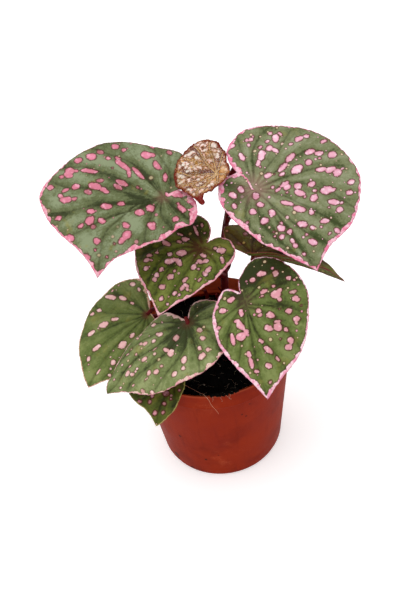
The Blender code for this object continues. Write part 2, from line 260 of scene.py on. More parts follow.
shared = {
    # a hair's tip radius; how far one leans; smallest and largest share of their length, on stalks and blades
    "hairTip": 0.01, "lean": 0.5, "stalkHairs": (0.4, 1.2), "bladeHairs": (0.35, 1.1),
    # how soon a stalk's foot narrows, and how fine its lumps and those of the soil's grains are
    "footPower": 14.0, "stalkLumps": 260.0, "grainLumps": 900.0, "grainWidth": 0.75,
    # a fibre bends between its ends' handles; smallest and largest share of its length; how far it tips
    "fibreHandles": ((-0.1, 0.35, 0.25), (0.2, -0.3, 0.2)), "fibreEnds": ((-0.5, 0, 0), (0.5, 0.05, -0.02)),
    "fibreSizes": (0.35, 1.0), "fibreTip": 0.5, "fullTurn": 6.3,
}


def stalkTree():
    # a tapering stalk along the curve, a little uneven, with fine hairs standing on it
    tree, given = newTree("stalk", Int="Sides, Seed", Material="Skin, Hair",
                          Float="Start radius, End radius, Base swell, Unevenness, Hairs, Hair length, "
                                "Hair radius")
    share = addNode(tree, "GeometryNodeSplineParameter").outputs["Factor"]
    taper = addNode(tree, "ShaderNodeMapRange", {0: share, 3: given["Start radius"], 4: given["End radius"]})
    swell = sums("POWER", sums("SUBTRACT", 1.0, share), shared["footPower"])
    ring = addNode(tree, "GeometryNodeCurvePrimitiveCircle", {"Resolution": given["Sides"], "Radius": 1.0})
    tube = addNode(tree, "GeometryNodeCurveToMesh",
                   {"Curve": given["Geometry"], "Profile Curve": ring, "Fill Caps": True,
                    "Scale": piled(taper, (swell, given["Base swell"]))})
    lumps = addNode(tree, "ShaderNodeTexNoise", {"Scale": shared["stalkLumps"], "Detail": 2.0})
    push = times(sums("SUBTRACT", lumps, 0.5), given["Unevenness"])
    offset = vectors("SCALE", addNode(tree, "GeometryNodeInputNormal"), scale=push)
    skin = addNode(tree, "GeometryNodeSetPosition", {"Geometry": tube, "Offset": offset})
    smooth = addNode(tree, "GeometryNodeSetShadeSmooth", {"Geometry": skin})
    points = pointsOn(smooth, given["Hairs"], given["Seed"])
    hair = addNode(tree, "GeometryNodeMeshCone", {"Vertices": 4, "Radius Bottom": given["Hair radius"],
                                                  "Radius Top": shared["hairTip"] * mm,
                                                  "Depth": given["Hair length"]})
    most = shared["lean"]
    lean = randomVector(tree, (-most, -most, 0.0), (most, most, 0.0), given["Seed"])
    turn = addNode(tree, "FunctionNodeRotateRotation", {0: points.outputs["Rotation"], 1: lean},
                   rotation_space="LOCAL")
    hairs = strewn(points, hair, turn, randomSize(tree, *shared["stalkHairs"], 3))
    both = addNode(tree, "GeometryNodeJoinGeometry")
    for part in (coloured(smooth, given["Skin"]), coloured(hairs, given["Hair"])):
        tree.links.new(part.outputs[0], both.inputs[0])
    return closed(tree, both)


def scatterTree():
    # small irregular grains strewn over a surface, sunk a little into it
    tree, given = newTree("scatter", Float="Density, Size, Smallest, Flatness, Roughen",
                          Int="Roundness, Seed", Material="Material")
    ball = addNode(tree, "GeometryNodeMeshIcoSphere",
                   {"Radius": given["Size"], "Subdivisions": given["Roundness"]})
    size = randomSize(tree, given["Smallest"], 1.0, 5)
    shape = addNode(tree, "ShaderNodeCombineXYZ",
                    {0: size, 1: times(size, shared["grainWidth"]), 2: times(size, given["Flatness"])})
    anyTurn = randomVector(tree, (0, 0, 0), [shared["fullTurn"]] * 3, given["Seed"])
    grains = strewn(pointsOn(given["Geometry"], given["Density"], given["Seed"]), ball, anyTurn, shape)
    rough = addNode(tree, "ShaderNodeTexNoise",
                    {"Scale": shared["grainLumps"], "Detail": 1.0}).outputs["Color"]
    offset = vectors("SCALE", vectors("SUBTRACT", rough, (0.5, 0.5, 0.5)), scale=given["Roughen"])
    moved = addNode(tree, "GeometryNodeSetPosition", {"Geometry": grains, "Offset": offset})
    return closed(tree, coloured(moved, given["Material"]))


def fringeTree():
    # fine hairs that stand out from a leaf's margin, one on each point, along its "outward" direction
    tree, given = newTree("fringe", Float="Length, Thickness, Spread", Int="Seed", Material="Material")
    hair = addNode(tree, "GeometryNodeMeshCone", {"Vertices": 3, "Radius Bottom": given["Thickness"],
                                                  "Radius Top": shared["hairTip"] * mm,
                                                  "Depth": given["Length"]})
    outward = addNode(tree, "GeometryNodeInputNamedAttribute", {"Name": "outward"}, data_type="FLOAT_VECTOR")
    stray = vectors("SCALE", randomVector(tree, (-1, -1, -1), (1, 1, 1), given["Seed"]),
                    scale=given["Spread"])
    way = vectors("ADD", outward, stray)
    turn = addNode(tree, "FunctionNodeAlignRotationToVector", {"Vector": way}, axis="Z")
    hairs = strewn(given["Geometry"], hair, turn, randomSize(tree, *shared["bladeHairs"], 3))
    return closed(tree, coloured(hairs, given["Material"]))


def strandTree():
    # thin bent fibres strewn over a surface
    tree, given = newTree("strands", Float="Density, Length, Thickness, Tilt", Int="Seed",
                          Material="Material")
    start, end = shared["fibreEnds"]
    leaving, arriving = shared["fibreHandles"]
    bend = addNode(tree, "GeometryNodeCurvePrimitiveBezierSegment",
                   {"Resolution": 9, "Start": start, "Start Handle": leaving, "End Handle": arriving,
                    "End": end}, mode="POSITION")
    ring = addNode(tree, "GeometryNodeCurvePrimitiveCircle", {"Resolution": 3, "Radius": given["Thickness"]})
    strand = addNode(tree, "GeometryNodeCurveToMesh", {"Curve": bend, "Profile Curve": ring})
    size = times(randomSize(tree, *shared["fibreSizes"], 5), given["Length"])
    shape = addNode(tree, "ShaderNodeCombineXYZ", {0: size, 1: size, 2: times(size, given["Tilt"])})
    most = (shared["fibreTip"], shared["fibreTip"], shared["fullTurn"])
    strands = strewn(pointsOn(given["Geometry"], given["Density"], given["Seed"]), strand,
                     randomVector(tree, (0, 0, 0), most, given["Seed"]), shape)
    return closed(tree, coloured(strands, given["Material"]))


stalks = stalkTree()
scatter = scatterTree()
fringe = fringeTree()
strands = strandTree()

# the pot

pot = {
    "height": 110.0, "mouthRadius": 60.0, "baseRadius": 46.3, "wall": 1.4, "bandHeight": 14.0,
    "bandStep": 1.2, "steps": 160, "drainHoles": 6, "drainRadius": 4.0, "drainRing": 27.0, "drillDepth": 12.0,
    "plastic": (124, 34, 11), "lit": (134, 42, 16), "deep": (92, 18, 6), "dustAndHighlight": (166, 78, 50),
    "inner": (188, 84, 52), "markColour": (34, 14, 9), "roughness": 0.6, "gloss": 0.035, "bump": 0.15,
    # extra points this many bevels away from a corner keep the shading of the flat parts even
    "support": 1.8,
    # dark marks on the wall: grime higher up, and the lowest few darken the wall's foot at the front left.
    # Each is x, y and height of the middle, then the half width
    "marks": (
        (-32.2, -40.4, 47.6, 1.0), (-15.8, -46.3, 22.7, 0.9), (-27.1, -38, 4.5, 1.2),
        (14.7, -53.2, 78.6, 0.6), (17.5, -51.9, 74.7, 0.6), (-38, -28.6, 10.9, 2.4),
        (-37.4, -29.8, 7.2, 1.1), (21, -52.4, 88, 0.5), (-6, -49, 30, 0.5), (30, 44, 60, 1.2),
        (-42, 30, 40, 0.9), (52, 6, 52, 0.8), (-36.4, -27.6, 3.4, 1.6), (-33, -31.6, 2.6, 1.2),
        (-28.6, -35.6, 2.4, 1.0),
    ),
}


def potWall(height):
    top = pot["mouthRadius"] - pot["bandStep"]
    return pot["baseRadius"] + (top - pot["baseRadius"]) * height / pot["height"]


def potProfile():
    # the wall's section, each corner as radius, height and bevel
    band = pot["height"] - pot["bandHeight"]
    wall, mouth, base, top = pot["wall"], pot["mouthRadius"], pot["baseRadius"], pot["height"]
    corners = [
        (0, 2, 0), (base - wall, 2, 1.6), (potWall(band + 1) - wall, band + 1, 1.5),
        (mouth - wall, band + 3.6, 1.0), (mouth - wall, top, 0.5), (mouth, top, 0.6),
        (mouth - 0.4, band - 0.2, 0.5), (potWall(band), band - 0.5, 0.3), (potWall(3.2), 3.2, 0.8),
        (base - 0.9, 2.2, 0.5), (base - 0.9, 0.0, 0.7), (base - 4, 0, 0.4), (base - 5, 0.9, 0.4), (0, 0.9, 0),
    ]
    line = []
    for index, (radius, height, bevel) in enumerate(corners):
        here = Vector((radius, height))
        if not bevel:
            line.append(here)
            continue
        into, leave = (here + (Vector(corners[other % len(corners)][:2]) - here).normalized() * bevel
                       for other in (index - 1, index + 1))
        line.append(here + (into - here) * pot["support"])
        line += [into.lerp(here, t).lerp(here.lerp(leave, t), t) for t in (0, 0.25, 0.5, 0.75, 1)]
        line.append(here + (leave - here) * pot["support"])
    return line


def potMaterial():
    material = newMaterial("pot_plastic", pot["roughness"], pot["gloss"])
    tree, spot = material.node_tree, objectSpot(material)
    cloud, fine = grain(spot, 22, 4, 0.6), grain(spot, 900, 3, 0.6, 2)
    # fine upright streaks from the mould, then dusty rubbed patches and dull ones
    stretched = addNode(tree, "ShaderNodeMapping", {"Vector": spot, "Scale": (1, 1, 0.06)})
    streak = grain(stretched, 260, 3, 0.6, 5)
    rub = times(fade(grain(spot, 48, 5, 0.65, 9), 0.56, 0.74), fade(fine, 0.35, 0.6), 0.55)
    dull = fade(grain(spot, 34, 3, 0.6, 12), 0.46, 0.68, 0, 0.5)
    # the lip is paler, a painted highlight; the groove below the band is darker, painted shade; and the wall
    # inside is paler than outside, painted light
    level = addNode(tree, "ShaderNodeSeparateXYZ", {0: spot}).outputs[2]
    top, band, mouth = pot["height"] * mm, (pot["height"] - pot["bandHeight"]) * mm, pot["mouthRadius"] * mm
    # painted shade: a darker line in the groove under the band
    grooveShade = times(fade(level, band - 1.5 * mm, band - 0.5 * mm),
                   fade(level, band + 0.8 * mm, band - 0.2 * mm), 0.6)
    radius = vectors("LENGTH", vectors("MULTIPLY", spot, (1, 1, 0)))
    # painted light: the inside of the wall above the band gets a paler colour
    inside = times(fade(radius, mouth - 0.5 * mm, mouth - 1.1 * mm),
                   fade(level, band + 0.2 * mm, band + 1.5 * mm))
    colour = coats(pot["plastic"], pot, (fade(cloud, 0.35, 0.68), "lit"),
                   (fade(streak, 0.52, 0.75, 0, 0.35), "deep"), (fade(fine, 0.6, 0.8, 0, 0.3), "deep"),
                   (rub, "dustAndHighlight"), (dull, "deep"),
                   # a painted highlight along the lip, then painted shade in the groove below the band
                   (times(fade(level, top - 2.2 * mm, top - 0.8 * mm), 0.4), "dustAndHighlight"), (grooveShade, "deep"),
                   (inside, "inner"))
    # dark marks: grime and crumbs of dried soil stuck to the wall, and the wall's foot darkened at the front
    # left
    for *middle, half in pot["marks"]:
        ragged = piled(vectors("DISTANCE", spot, Vector(middle) * mm), (fine, 0.9 * mm))
        colour = coats(colour, pot, (fade(ragged, (half + 1.0) * mm, (half + 0.3) * mm, 0, 0.8), "markColour"))
    return painted(material, colour, piled(fine, (streak, 0.5)), pot["bump"],
                   fade(cloud, 0.2, 0.8, 0.44, 0.62))


def latheTree():
    # sweeps the closed profile round a circle, closes the poles and drills the drain holes
    tree, given = newTree("lathe", Float="Radius, Hole radius, Hole ring, Hole depth", Int="Steps, Holes",
                          Material="Material")
    circle = addNode(tree, "GeometryNodeCurvePrimitiveCircle",
                     {"Resolution": given["Steps"], "Radius": given["Radius"]})
    swept = addNode(tree, "GeometryNodeCurveToMesh", {"Curve": circle, "Profile Curve": given["Geometry"]})
    merged = addNode(tree, "GeometryNodeMergeByDistance", {"Geometry": swept, "Distance": 0.01 * mm})
    ring = addNode(tree, "GeometryNodeMeshCircle", {"Vertices": given["Holes"], "Radius": given["Hole ring"]})
    drill = addNode(tree, "GeometryNodeMeshCylinder", {"Vertices": 32, "Radius": given["Hole radius"],
                                                       "Depth": given["Hole depth"]})
    holed = addNode(tree, "GeometryNodeMeshBoolean",
                    {"Mesh 1": merged, "Mesh 2": strewn(ring, drill, (0, 0, 0), (1, 1, 1))},
                    operation="DIFFERENCE", solver="EXACT")
    smooth = addNode(tree, "GeometryNodeSetShadeSmooth", {"Geometry": holed})
    corner = addNode(tree, "GeometryNodeInputMeshEdgeAngle")
    sharp = addNode(tree, "FunctionNodeCompare", {0: corner, 1: 0.7}, operation="GREATER_THAN")
    edged = addNode(tree, "GeometryNodeSetShadeSmooth", {"Geometry": smooth, "Selection": sharp,
                                                         "Shade Smooth": False}, domain="EDGE")
    real = addNode(tree, "GeometryNodeRealizeInstances", {0: edged})
    return closed(tree, coloured(real, given["Material"]))


def makePot():
    # the profile lies flat: x is outward from the sweep circle, y is downward
    turnRadius = 30.0
    outline = polyLine("potOutline", [(p.x - turnRadius, -p.y, 0) for p in potProfile()], closed=True)
    piece = grown("nursery_pot", outline, latheTree(),
                  {"Radius": turnRadius * mm, "Steps": pot["steps"], "Holes": pot["drainHoles"],
                   "Hole radius": pot["drainRadius"] * mm, "Hole ring": pot["drainRing"] * mm,
                   "Hole depth": pot["drillDepth"] * mm, "Material": potMaterial()})
    shape = bmesh.new()
    shape.from_mesh(piece.data)
    bmesh.ops.recalc_face_normals(shape, faces=shape.faces)
    shape.to_mesh(piece.data)
    shape.free()
    place(piece, "pot_plastic", "pot")


makePot()
print("pot turned")

# the soil

soil = {
    "edge": 95.0, "crown": 97.0, "spokes": 150, "rings": 46, "lump": 1.3, "clod": 0.7,
    # the plug under the top: its neck's height, its foot's and floor's, and the gaps to the pot
    "neck": 88.0, "foot": 3.6, "floor": 2.2, "gap": 0.1, "footGap": 1.2, "chamfer": 2.0,
    "dark": (4, 4, 4), "brown": (16, 13, 10), "crumb": (26, 21, 16), "pale": (150, 146, 134),
    "fibre": (150, 140, 120), "rootDark": (206, 150, 122), "rootLight": (224, 184, 158), "gloss": 0.06,
    "bump": 0.6,
    # loose bits: how many to a square metre, size, smallest share, roundness, flatness, roughness and seed
    "crumbs": (130000.0, 1.1, 0.3, 1, 0.7, 0.45, 4), "clods": (11000.0, 2.3, 0.4, 2, 0.6, 0.45, 8),
    "grit": (6000.0, 0.9, 0.25, 2, 0.6, 0.45, 15), "spilt": (1800000.0, 1.5, 0.3, 1, 0.7, 0.4, 6),
    "fibres": 24000.0, "fibreLength": 9.0, "fibreThickness": 0.011, "fibreTilt": 0.5,
    # crumbs on the pot's lip lie between these compass headings, and this far in and out of the mouth
    "spill": (-95, -76), "spillBand": (-2.2, 0.2), "spillSteps": 12,
    # the long root's radius, the short ones' and that of their tips
    "rootRadius": 0.2, "threadRadius": 0.09, "rootTip": 0.06,
    # fine roots: over the lip at the front, and short ones on it
    "roots": (
        ((-24, -34, 97.5), (-17, -43, 100.5), (-12, -52, 106), (-9, -58.8, 110.5), (-7.5, -60.5, 109),
         (-5.5, -60.9, 102), (-3, -60.2, 95.5), (-1.5, -59.2, 90)),
        ((-2, -56, 107), (0, -59.4, 110.5), (1.5, -60.6, 108), (2, -60.8, 104.5)),
        ((3, -55, 107), (4.5, -59.4, 110.6), (6, -60.4, 109), (8.5, -60.2, 105)),
        ((10, -54, 106), (9, -59, 110.5), (7.5, -60.5, 108.5), (7, -60.5, 106)),
        ((-6, -55, 106), (-4.5, -59, 110.5), (-4, -60.6, 108.5), (-4.6, -60.7, 106)),
    ),
}


def soilTop(x, y):
    spot = Vector((x, y, 0))
    lumps, clods = noise.fractal(spot / 13, 1.0, 2.0, 3), noise.fractal(spot / 4.5, 1.0, 2.0, 2)
    dome = soil["edge"] + (soil["crown"] - soil["edge"]) * (1 - (math.hypot(x, y) / pot["mouthRadius"]) ** 2)
    return dome + (lumps * soil["lump"] + clods * soil["clod"])


def soilMaterial(name, first, second, roughness=0.85):
    material = newMaterial(name, roughness, soil["gloss"])
    spot = objectSpot(material)
    colour = coats(soil[first], soil, (fade(grain(spot, 420, 4, 0.65), 0.4, 0.72), second))
    return painted(material, colour, grain(spot, 1400, 4, 0.7, 3), soil["bump"])


def strewSoil(name, base, kind, stuff):
    density, size, smallest, roundness, flatness, roughen, seed = soil[kind]
    bits = grown(name, base, scatter,
                 {"Density": density, "Size": size * mm, "Smallest": smallest, "Roundness": roundness,
                  "Flatness": flatness, "Roughen": roughen * size * mm, "Seed": seed, "Material": stuff})
    place(bits, "potting_soil")


def makeSoil():
    # a lumpy top over a plug that fills the pot
    spokes, rings = soil["spokes"], soil["rings"]

    def circle(radius, height=None):
        turns = [math.tau * spoke / spokes for spoke in range(spokes)]
        around = [(radius * math.cos(turn), radius * math.sin(turn)) for turn in turns]
        return [(x, y, soilTop(x, y) if height is None else height) for x, y in around]

    rim, neck = (potWall(height) - pot["wall"] - soil["gap"] for height in (soil["edge"], soil["neck"]))
    foot = pot["baseRadius"] - pot["wall"] - soil["footGap"]
    verts = [(0, 0, soilTop(0, 0))]
    for ring in range(1, rings + 1):
        verts += circle(rim * ring / rings)
    for radius, height in ((neck, soil["neck"]), (foot, soil["foot"]),
                           (foot - soil["chamfer"], soil["floor"])):
        verts += circle(radius, height)
    verts.append((0, 0, soil["floor"]))
    beside = [(spoke, (spoke + 1) % spokes) for spoke in range(spokes)]
    faces = [(0, 1 + k, 1 + after) for k, after in beside]
    for start in range(1, 1 + (rings + 2) * spokes, spokes):
        faces += [(start + k, start + spokes + k, start + spokes + after, start + after)
                  for k, after in beside]
    last = 1 + (rings + 2) * spokes
    faces += [(last + after, last + k, len(verts) - 1) for k, after in beside]
    mesh = newMesh("soil_bed", verts, faces)
    mesh.shade_smooth()
    place(addPiece("soil_bed", mesh, [soilMaterial("potting_soil", "dark", "brown")]), "potting_soil", "soil")

    def topOnly(name):
        return addPiece(name, newMesh(name, verts[:1 + rings * spokes], faces[:rings * spokes]))

    crumbStuff = soilMaterial("crumb_dark", "dark", "crumb")
    paleStuff = soilMaterial("crumb_pale", "fibre", "pale", 0.9)
    for kind, stuff in (("crumbs", crumbStuff), ("clods", crumbStuff), ("grit", paleStuff)):
        strewSoil("soil_" + kind, topOnly(kind + "Base"), kind, stuff)
    threads = grown("soil_fibres", topOnly("fibreBase"), strands,
                    {"Density": soil["fibres"], "Length": soil["fibreLength"] * mm, "Tilt": soil["fibreTilt"],
                     "Thickness": soil["fibreThickness"], "Seed": 21, "Material": paleStuff})
    place(threads, "potting_soil")

    # crumbs on the lip
    turns = np.radians(np.linspace(*soil["spill"], soil["spillSteps"]))
    radii = [pot["mouthRadius"] + out for out in soil["spillBand"]]
    strip = [(radius * math.cos(turn), radius * math.sin(turn), pot["height"] + soil["gap"])
             for turn in turns for radius in radii]
    lip = newMesh("lip", strip, [(2 * k, 2 * k + 1, 2 * k + 3, 2 * k + 2) for k in range(len(turns) - 1)])
    strewSoil("lip_crumbs", addPiece("lipBase", lip), "spilt", crumbStuff)

    rootSkin = soilMaterial("root_pale", "rootDark", "rootLight", 0.7)
    for index, route in enumerate(soil["roots"]):
        root = grown(f"fine_root_{index + 1}", polyLine("rootLine", smoothPath(route, 8)), stalks,
                     {"Start radius": soil["threadRadius" if index else "rootRadius"] * mm,
                      "End radius": soil["rootTip"] * mm, "Sides": 5, "Unevenness": 0.05 * mm,
                      "Skin": paleStuff if index else rootSkin, "Hair": paleStuff})
        place(root, "potting_soil")


makeSoil()
print("soil filled")

# the stem and the leaf stalks

stem = {
    "radius": 3.3, "topRadius": 2.7, "clearance": 0.6, "stalkRadius": 1.9, "stalkTop": 1.4, "lift": 50.0,
    "axis": ((15.5, 43, 84), (15.5, 43, 97), (15.7, 43.4, 109), (16.4, 45, 122), (17.4, 47, 134)),
    "skin": (98, 22, 22), "dark": (66, 10, 14), "fleck": (138, 54, 46), "hair": (104, 40, 38),
    "hairs": 200000.0, "hairLength": 1.1, "hairRadius": 0.05, "sides": 20, "unevenness": 0.5, "bump": 0.2,
    # how much wider the foot is: of the stem, a stub and a leaf stalk
    "stemSwell": 0.4, "stubSwell": 0.3, "stalkSwell": 0.7,
    # a leaf stalk starts this far inside the stem's skin, is straight this far out of it, and ends this far
    # under its blade, after a last straight bit
    "inside": 3.5, "outside": 3.0, "underBlade": 0.5, "lastBit": 2.9,
    # where a stalk from the soil starts: below the top, at it and above
    "soilStart": (88.0, 98.5, 102.0),
    # bud scales and stubs of old stalks, and one dark bud put in a shaded gap as painted shade: their route,
    # then the radius at foot and tip
    "stubs": (
        (((17.5, 46.5, 125), (20.8, 47, 128.5), (22.6, 47.5, 132)), (1.5, 0.3)),
        (((17, 46, 128), (19.5, 44.5, 131), (20.6, 44, 135)), (1.2, 0.2)),
        (((16, 44, 108), (12.5, 42.5, 111), (10.8, 42, 115)), (1.4, 0.3)),
        (((2, 51, 93), (1.5, 51.3, 99), (0.5, 51.6, 104.5)), (1.7, 1.2)),
        (((10, 46, 93), (9.6, 46.5, 99), (8.6, 47, 103)), (1.6, 1.0)),
        (((24, 47, 93), (25, 47.5, 98), (26.5, 48, 101.5)), (1.5, 1.1)),
        (((21.8, 49.4, 168), (23.4, 49.2, 171.5), (25.6, 49.2, 174.5)), (2.0, 1.1)),
        # painted shade: a dark bud that fills the shaded gap between the young leaf and the upper right blade
        (((25, 59, 192), (29, 63, 198.5), (33, 66.2, 203.5), (37, 68.2, 205.5)), (2.7, 2.2)),
        (((-43.2, 13.6, 123.6), (-40.5, 16, 124.9), (-38, 18.2, 124.4)), (1.6, 1.2)),
        (((-14, -17, 139.4), (-14.6, -15.2, 141), (-15.2, -12.6, 141.6)), (1.7, 1.3)),
    ),
}


def stalkMaterial():
    material = newMaterial("stem_maroon", 0.5, 0.14)
    spot = objectSpot(material)
    colour = coats(stem["dark"], stem, (fade(grain(spot, 120, 3, 0.6), 0.35, 0.65), "skin"),
                   (fade(cellular(spot, 520.0, "3D")[0], 0.24, 0.14, 0, 0.35), "fleck"))
    return painted(material, colour, grain(spot, 1500, 3, 0.6, 4), stem["bump"])


stalkSkin = stalkMaterial()
stalkHair = newMaterial("stalk_hair", 0.6, 0.3, stem["hair"])


def stemAxis(height):
    for low, high in zip(stem["axis"], stem["axis"][1:]):
        if low[2] <= height <= high[2]:
            return Vector(low).lerp(Vector(high), (height - low[2]) / (high[2] - low[2]))


def stalkStart(root):
    # out of the soil, on from the stem's top, or slanting out of its side
    if root[0] == "soil":
        return [Vector((*root[1:], height)) for height in stem["soilStart"]]
    if root[0] == "top":
        below, top = (Vector(point) for point in stem["axis"][-2:])
        upward = (top - below).normalized()
        return [top - upward, top + upward * stem["outside"]]
    height, direction = root[1:]
    lift = math.radians(stem["lift"])
    outward = Vector((math.cos(math.radians(direction)), math.sin(math.radians(direction)), 0))
    reach = stem["topRadius"] + stem["clearance"] + stem["stalkRadius"] * math.sin(lift)
    base = stemAxis(height) + outward * reach
    slant = outward * math.cos(lift) + Vector((0, 0, math.sin(lift)))
    return [base - slant * stem["inside"], base + slant * stem["outside"]]


def makeStalk(name, path, radii, swell, seed, *nodes):
    piece = grown(name, polyLine(name + "Line", smoothPath(path, 10)), stalks,
                  {"Start radius": radii[0] * mm, "End radius": radii[1] * mm, "Base swell": swell * mm,
                   "Sides": stem["sides"], "Unevenness": stem["unevenness"] * mm, "Hairs": stem["hairs"],
                   "Hair length": stem["hairLength"] * mm, "Hair radius": stem["hairRadius"] * mm,
                   "Seed": seed, "Skin": stalkSkin, "Hair": stalkHair})
    place(piece, "stem_maroon", *nodes)


makeStalk("main_stem", stem["axis"], (stem["radius"], stem["topRadius"]), stem["stemSwell"], 1, "stem")
for number, (route, radii) in enumerate(stem["stubs"], 1):
    makeStalk(f"stub_{number}", route, radii, stem["stubSwell"], 20 + number)
print("stem grown")

# the leaves

blade = {
    "thickness": 0.75, "edgeThickness": 0.4, "thinning": 6.0, "marginStep": 0.45, "bead": 0.16,
    "spotDefaults": (0, 0, 3, 3, 0, 0.6), "lap": 0.9, "lapReach": 2.4, "seamPink": 1.5,
    "hairSpacing": 0.7, "hairThickness": 0.05, "hairSpread": 0.6,
    "underGloss": 0.12, "underBump": 0.2,
    # the margin is calm this near the tip and notch; sizes of its teeth and of the patches of its pale edge
    "calm": 12, "teeth": ((2.6, 1, 7), (6, 0.7, 3), (1.2, 0.6, 5)), "patch": 4.5, "patchRange": (0.15, 2.2),
    # the swellings grow this far from the stalk and calm down this near the margin, where it flutters
    "growth": 14, "edgeCalm": 16, "edgeShare": 0.55, "flutterReach": 26, "wrinkleSize": 9,
    # the folds along veins and side veins: their width, the level between them and how sharp they are
    "veinFold": (0.6, 0.65, 2.4), "sideFold": (0.5, 0.6, 2),
    # side veins: where the first and last leave, in spacings, their slant, and their points out and ahead
    "sideFirst": 1.3, "sideLast": 0.6, "sideAngle": 48, "sidePoints": ((0.55, 0.4), (0.85, 2.5)),
    # the lapping lobe's rise and its neighbour's drop, and how far from the stalk they ease in
    "lapStep": (0.7, -0.3), "lapEase": 6,
    # the grid's row distance and its distance from the margin, in grid steps
    "rowStep": 0.866, "marginGap": 0.55,
}


def lineRun(line):
    # how far along the line each of its points lies
    return np.concatenate([[0], np.cumsum(np.hypot(*np.diff(line, axis=0).T))])


def alongLine(line, run, places):
    return np.stack([np.interp(places, run, line[:, 0]), np.interp(places, run, line[:, 1])], -1)


def flatPath(points, steps):
    return np.array([point[:2] for point in smoothPath([(*point, 0) for point in points], steps)])


def halfMargin(points):
    # evenly spaced points along one half's margin, and each one's share of the way from tip to notch
    line = flatPath(points, 16)
    run = lineRun(line)
    wanted = np.linspace(0, run[-1], round(run[-1] / blade["marginStep"]) + 1)
    return alongLine(line, run, wanted), np.interp(wanted, run, np.linspace(0, 1, len(line)))


def bentLine(distance, start, rate):
    end = start - rate * distance
    return (np.sin(start) - np.sin(end)) / rate, (np.cos(end) - np.cos(start)) / rate


def bladePose(leaf):
    turn, droop, roll = (Matrix.Rotation(math.radians(angle), 4, axis) for angle, axis in
                         ((leaf["heading"] - 90, "Z"), (-leaf["droop"], "X"), (leaf["roll"], "Y")))
    return Matrix.Translation(leaf["foot"]) @ turn @ droop @ roll


def bladeSurface(leaf, spots, rise):
    # where points of the flat blade lie once it is lifted, arched, bent and tilted
    x, y = spots.T
    lift = np.where(x > 0, *np.radians(leaf["lift"]))
    arch = np.where(x > 0, *np.radians(leaf["arch"])) / 100
    bend = np.where(y > 0, *np.radians(leaf["bend"])) / 100
    across, up = bentLine(np.abs(x), lift, arch)
    forward, down = bentLine(np.abs(y), 0.0, bend)
    up, lean = up + rise, bend * y
    placed = np.stack([np.copysign(across, x), np.copysign(forward, y) + up * np.sin(lean),
                       down + up * np.cos(lean)], -1)
    pose = np.array(bladePose(leaf))
    return placed @ pose[:3, :3].T + pose[:3, 3]


def lineDistance(spots, line):
    nearest = np.full(len(spots), 1e9)
    for start, stop in zip(line, line[1:]):
        way = stop - start
        t = np.clip(((spots - start) @ way) / (way @ way + 1e-9), 0, 1)
        nearest = np.minimum(nearest, np.hypot(*(spots - start - t[:, None] * way).T))
    return nearest


def nearestTwo(spots, lines):
    return np.sort(np.stack([lineDistance(spots, line) for line in lines]), 0)[:2]


def sideVeins(lines, spacing, reach):
    # short branches, left and right in turn, slanting towards the margin
    branches = []
    first, last = blade["sideFirst"], blade["sideLast"]
    for line in lines:
        run = lineRun(line)
        for step, way in enumerate(np.arange(spacing * first, run[-1] - spacing * last, spacing)):
            start = alongLine(line, run, way)
            ahead = alongLine(line, run, way + 1) - start
            turn = math.radians(blade["sideAngle"]) * (1 if step % 2 else -1)
            across = np.array([ahead[0] * math.cos(turn) - ahead[1] * math.sin(turn),
                               ahead[0] * math.sin(turn) + ahead[1] * math.cos(turn)])
            branches.append(np.array([start, *(start + across * reach * out + ahead * further
                                               for out, further in blade["sidePoints"])]))
    return branches


def turnedTo(spots, x, y, turn):
    # the spots as seen from (x, y): along and across a direction
    c, s = math.cos(math.radians(turn)), math.sin(math.radians(turn))
    way = spots - (x, y)
    return np.stack([way[:, 0] * c + way[:, 1] * s, way[:, 1] * c - way[:, 0] * s])


def spotDistance(spots, marks):
    # distance in mm to the nearest coloured spot's edge, and that spot's brightness
    nearest, tone = np.full(len(spots), 9.0), np.full(len(spots), blade["spotDefaults"][-1])
    for mark in marks:
        x, y, length, width, turn, bright = (*mark, *blade["spotDefaults"][len(mark):])
        half = np.array([[length / 2], [width / 2]])
        way = turnedTo(spots, x, y, turn) / half
        k = np.hypot(*way) + 1e-6
        gap = k * (k - 1) / (np.hypot(*(way / half)) + 1e-6)
        tone = np.where(gap < nearest, bright, tone)
        nearest = np.minimum(nearest, gap)
    return nearest, tone


def patchShade(spots, lightAndShadePatches):
    # soft areas of painted light and shade, added up
    shade = np.zeros(len(spots))
    for x, y, length, width, turn, strength in lightAndShadePatches:
        along, across = turnedTo(spots, x, y, turn)
        shade += strength * np.exp(-2 * ((2 * along / length) ** 2 + (2 * across / width) ** 2))
    return shade


def leafNoise(spots, level, size):
    return np.array([noise.noise(Vector((x, y, level)) / size) for x, y in spots])


def leafMargin(leaf):
    # the margin's points, round from the tip by the left; the share of its half and the pink width at each
    sides = []
    for key, hand in (("left", -1), ("right", 1)):
        edge, share = halfMargin(leaf[key])
        pink = leaf["pink" + key.capitalize()]
        sides.append((edge, share * hand, np.interp(share, np.linspace(0, 1, len(pink)), pink)))
    edge, share, widths = (np.concatenate([left, right[::-1][1:-1]]) for left, right in zip(*sides))
    ahead = np.roll(edge, -1, 0) - np.roll(edge, 1, 0)
    outward = np.stack([ahead[:, 1], -ahead[:, 0]], 1) / (np.hypot(*ahead.T)[:, None] + 1e-9)
    corners = np.array([leaf["left"][0], leaf["left"][-1]])
    calm = np.clip(np.min([np.hypot(*(edge - corner).T) for corner in corners], 0) / blade["calm"], 0, 1)
    teeth = sum(height * leafNoise(edge, level, size) for size, height, level in blade["teeth"])
    patchy = np.clip(1 + leaf["patchy"] * leafNoise(edge, 19, blade["patch"]), *blade["patchRange"])
    return edge + outward * (teeth * calm * leaf["teeth"])[:, None], share, widths * patchy


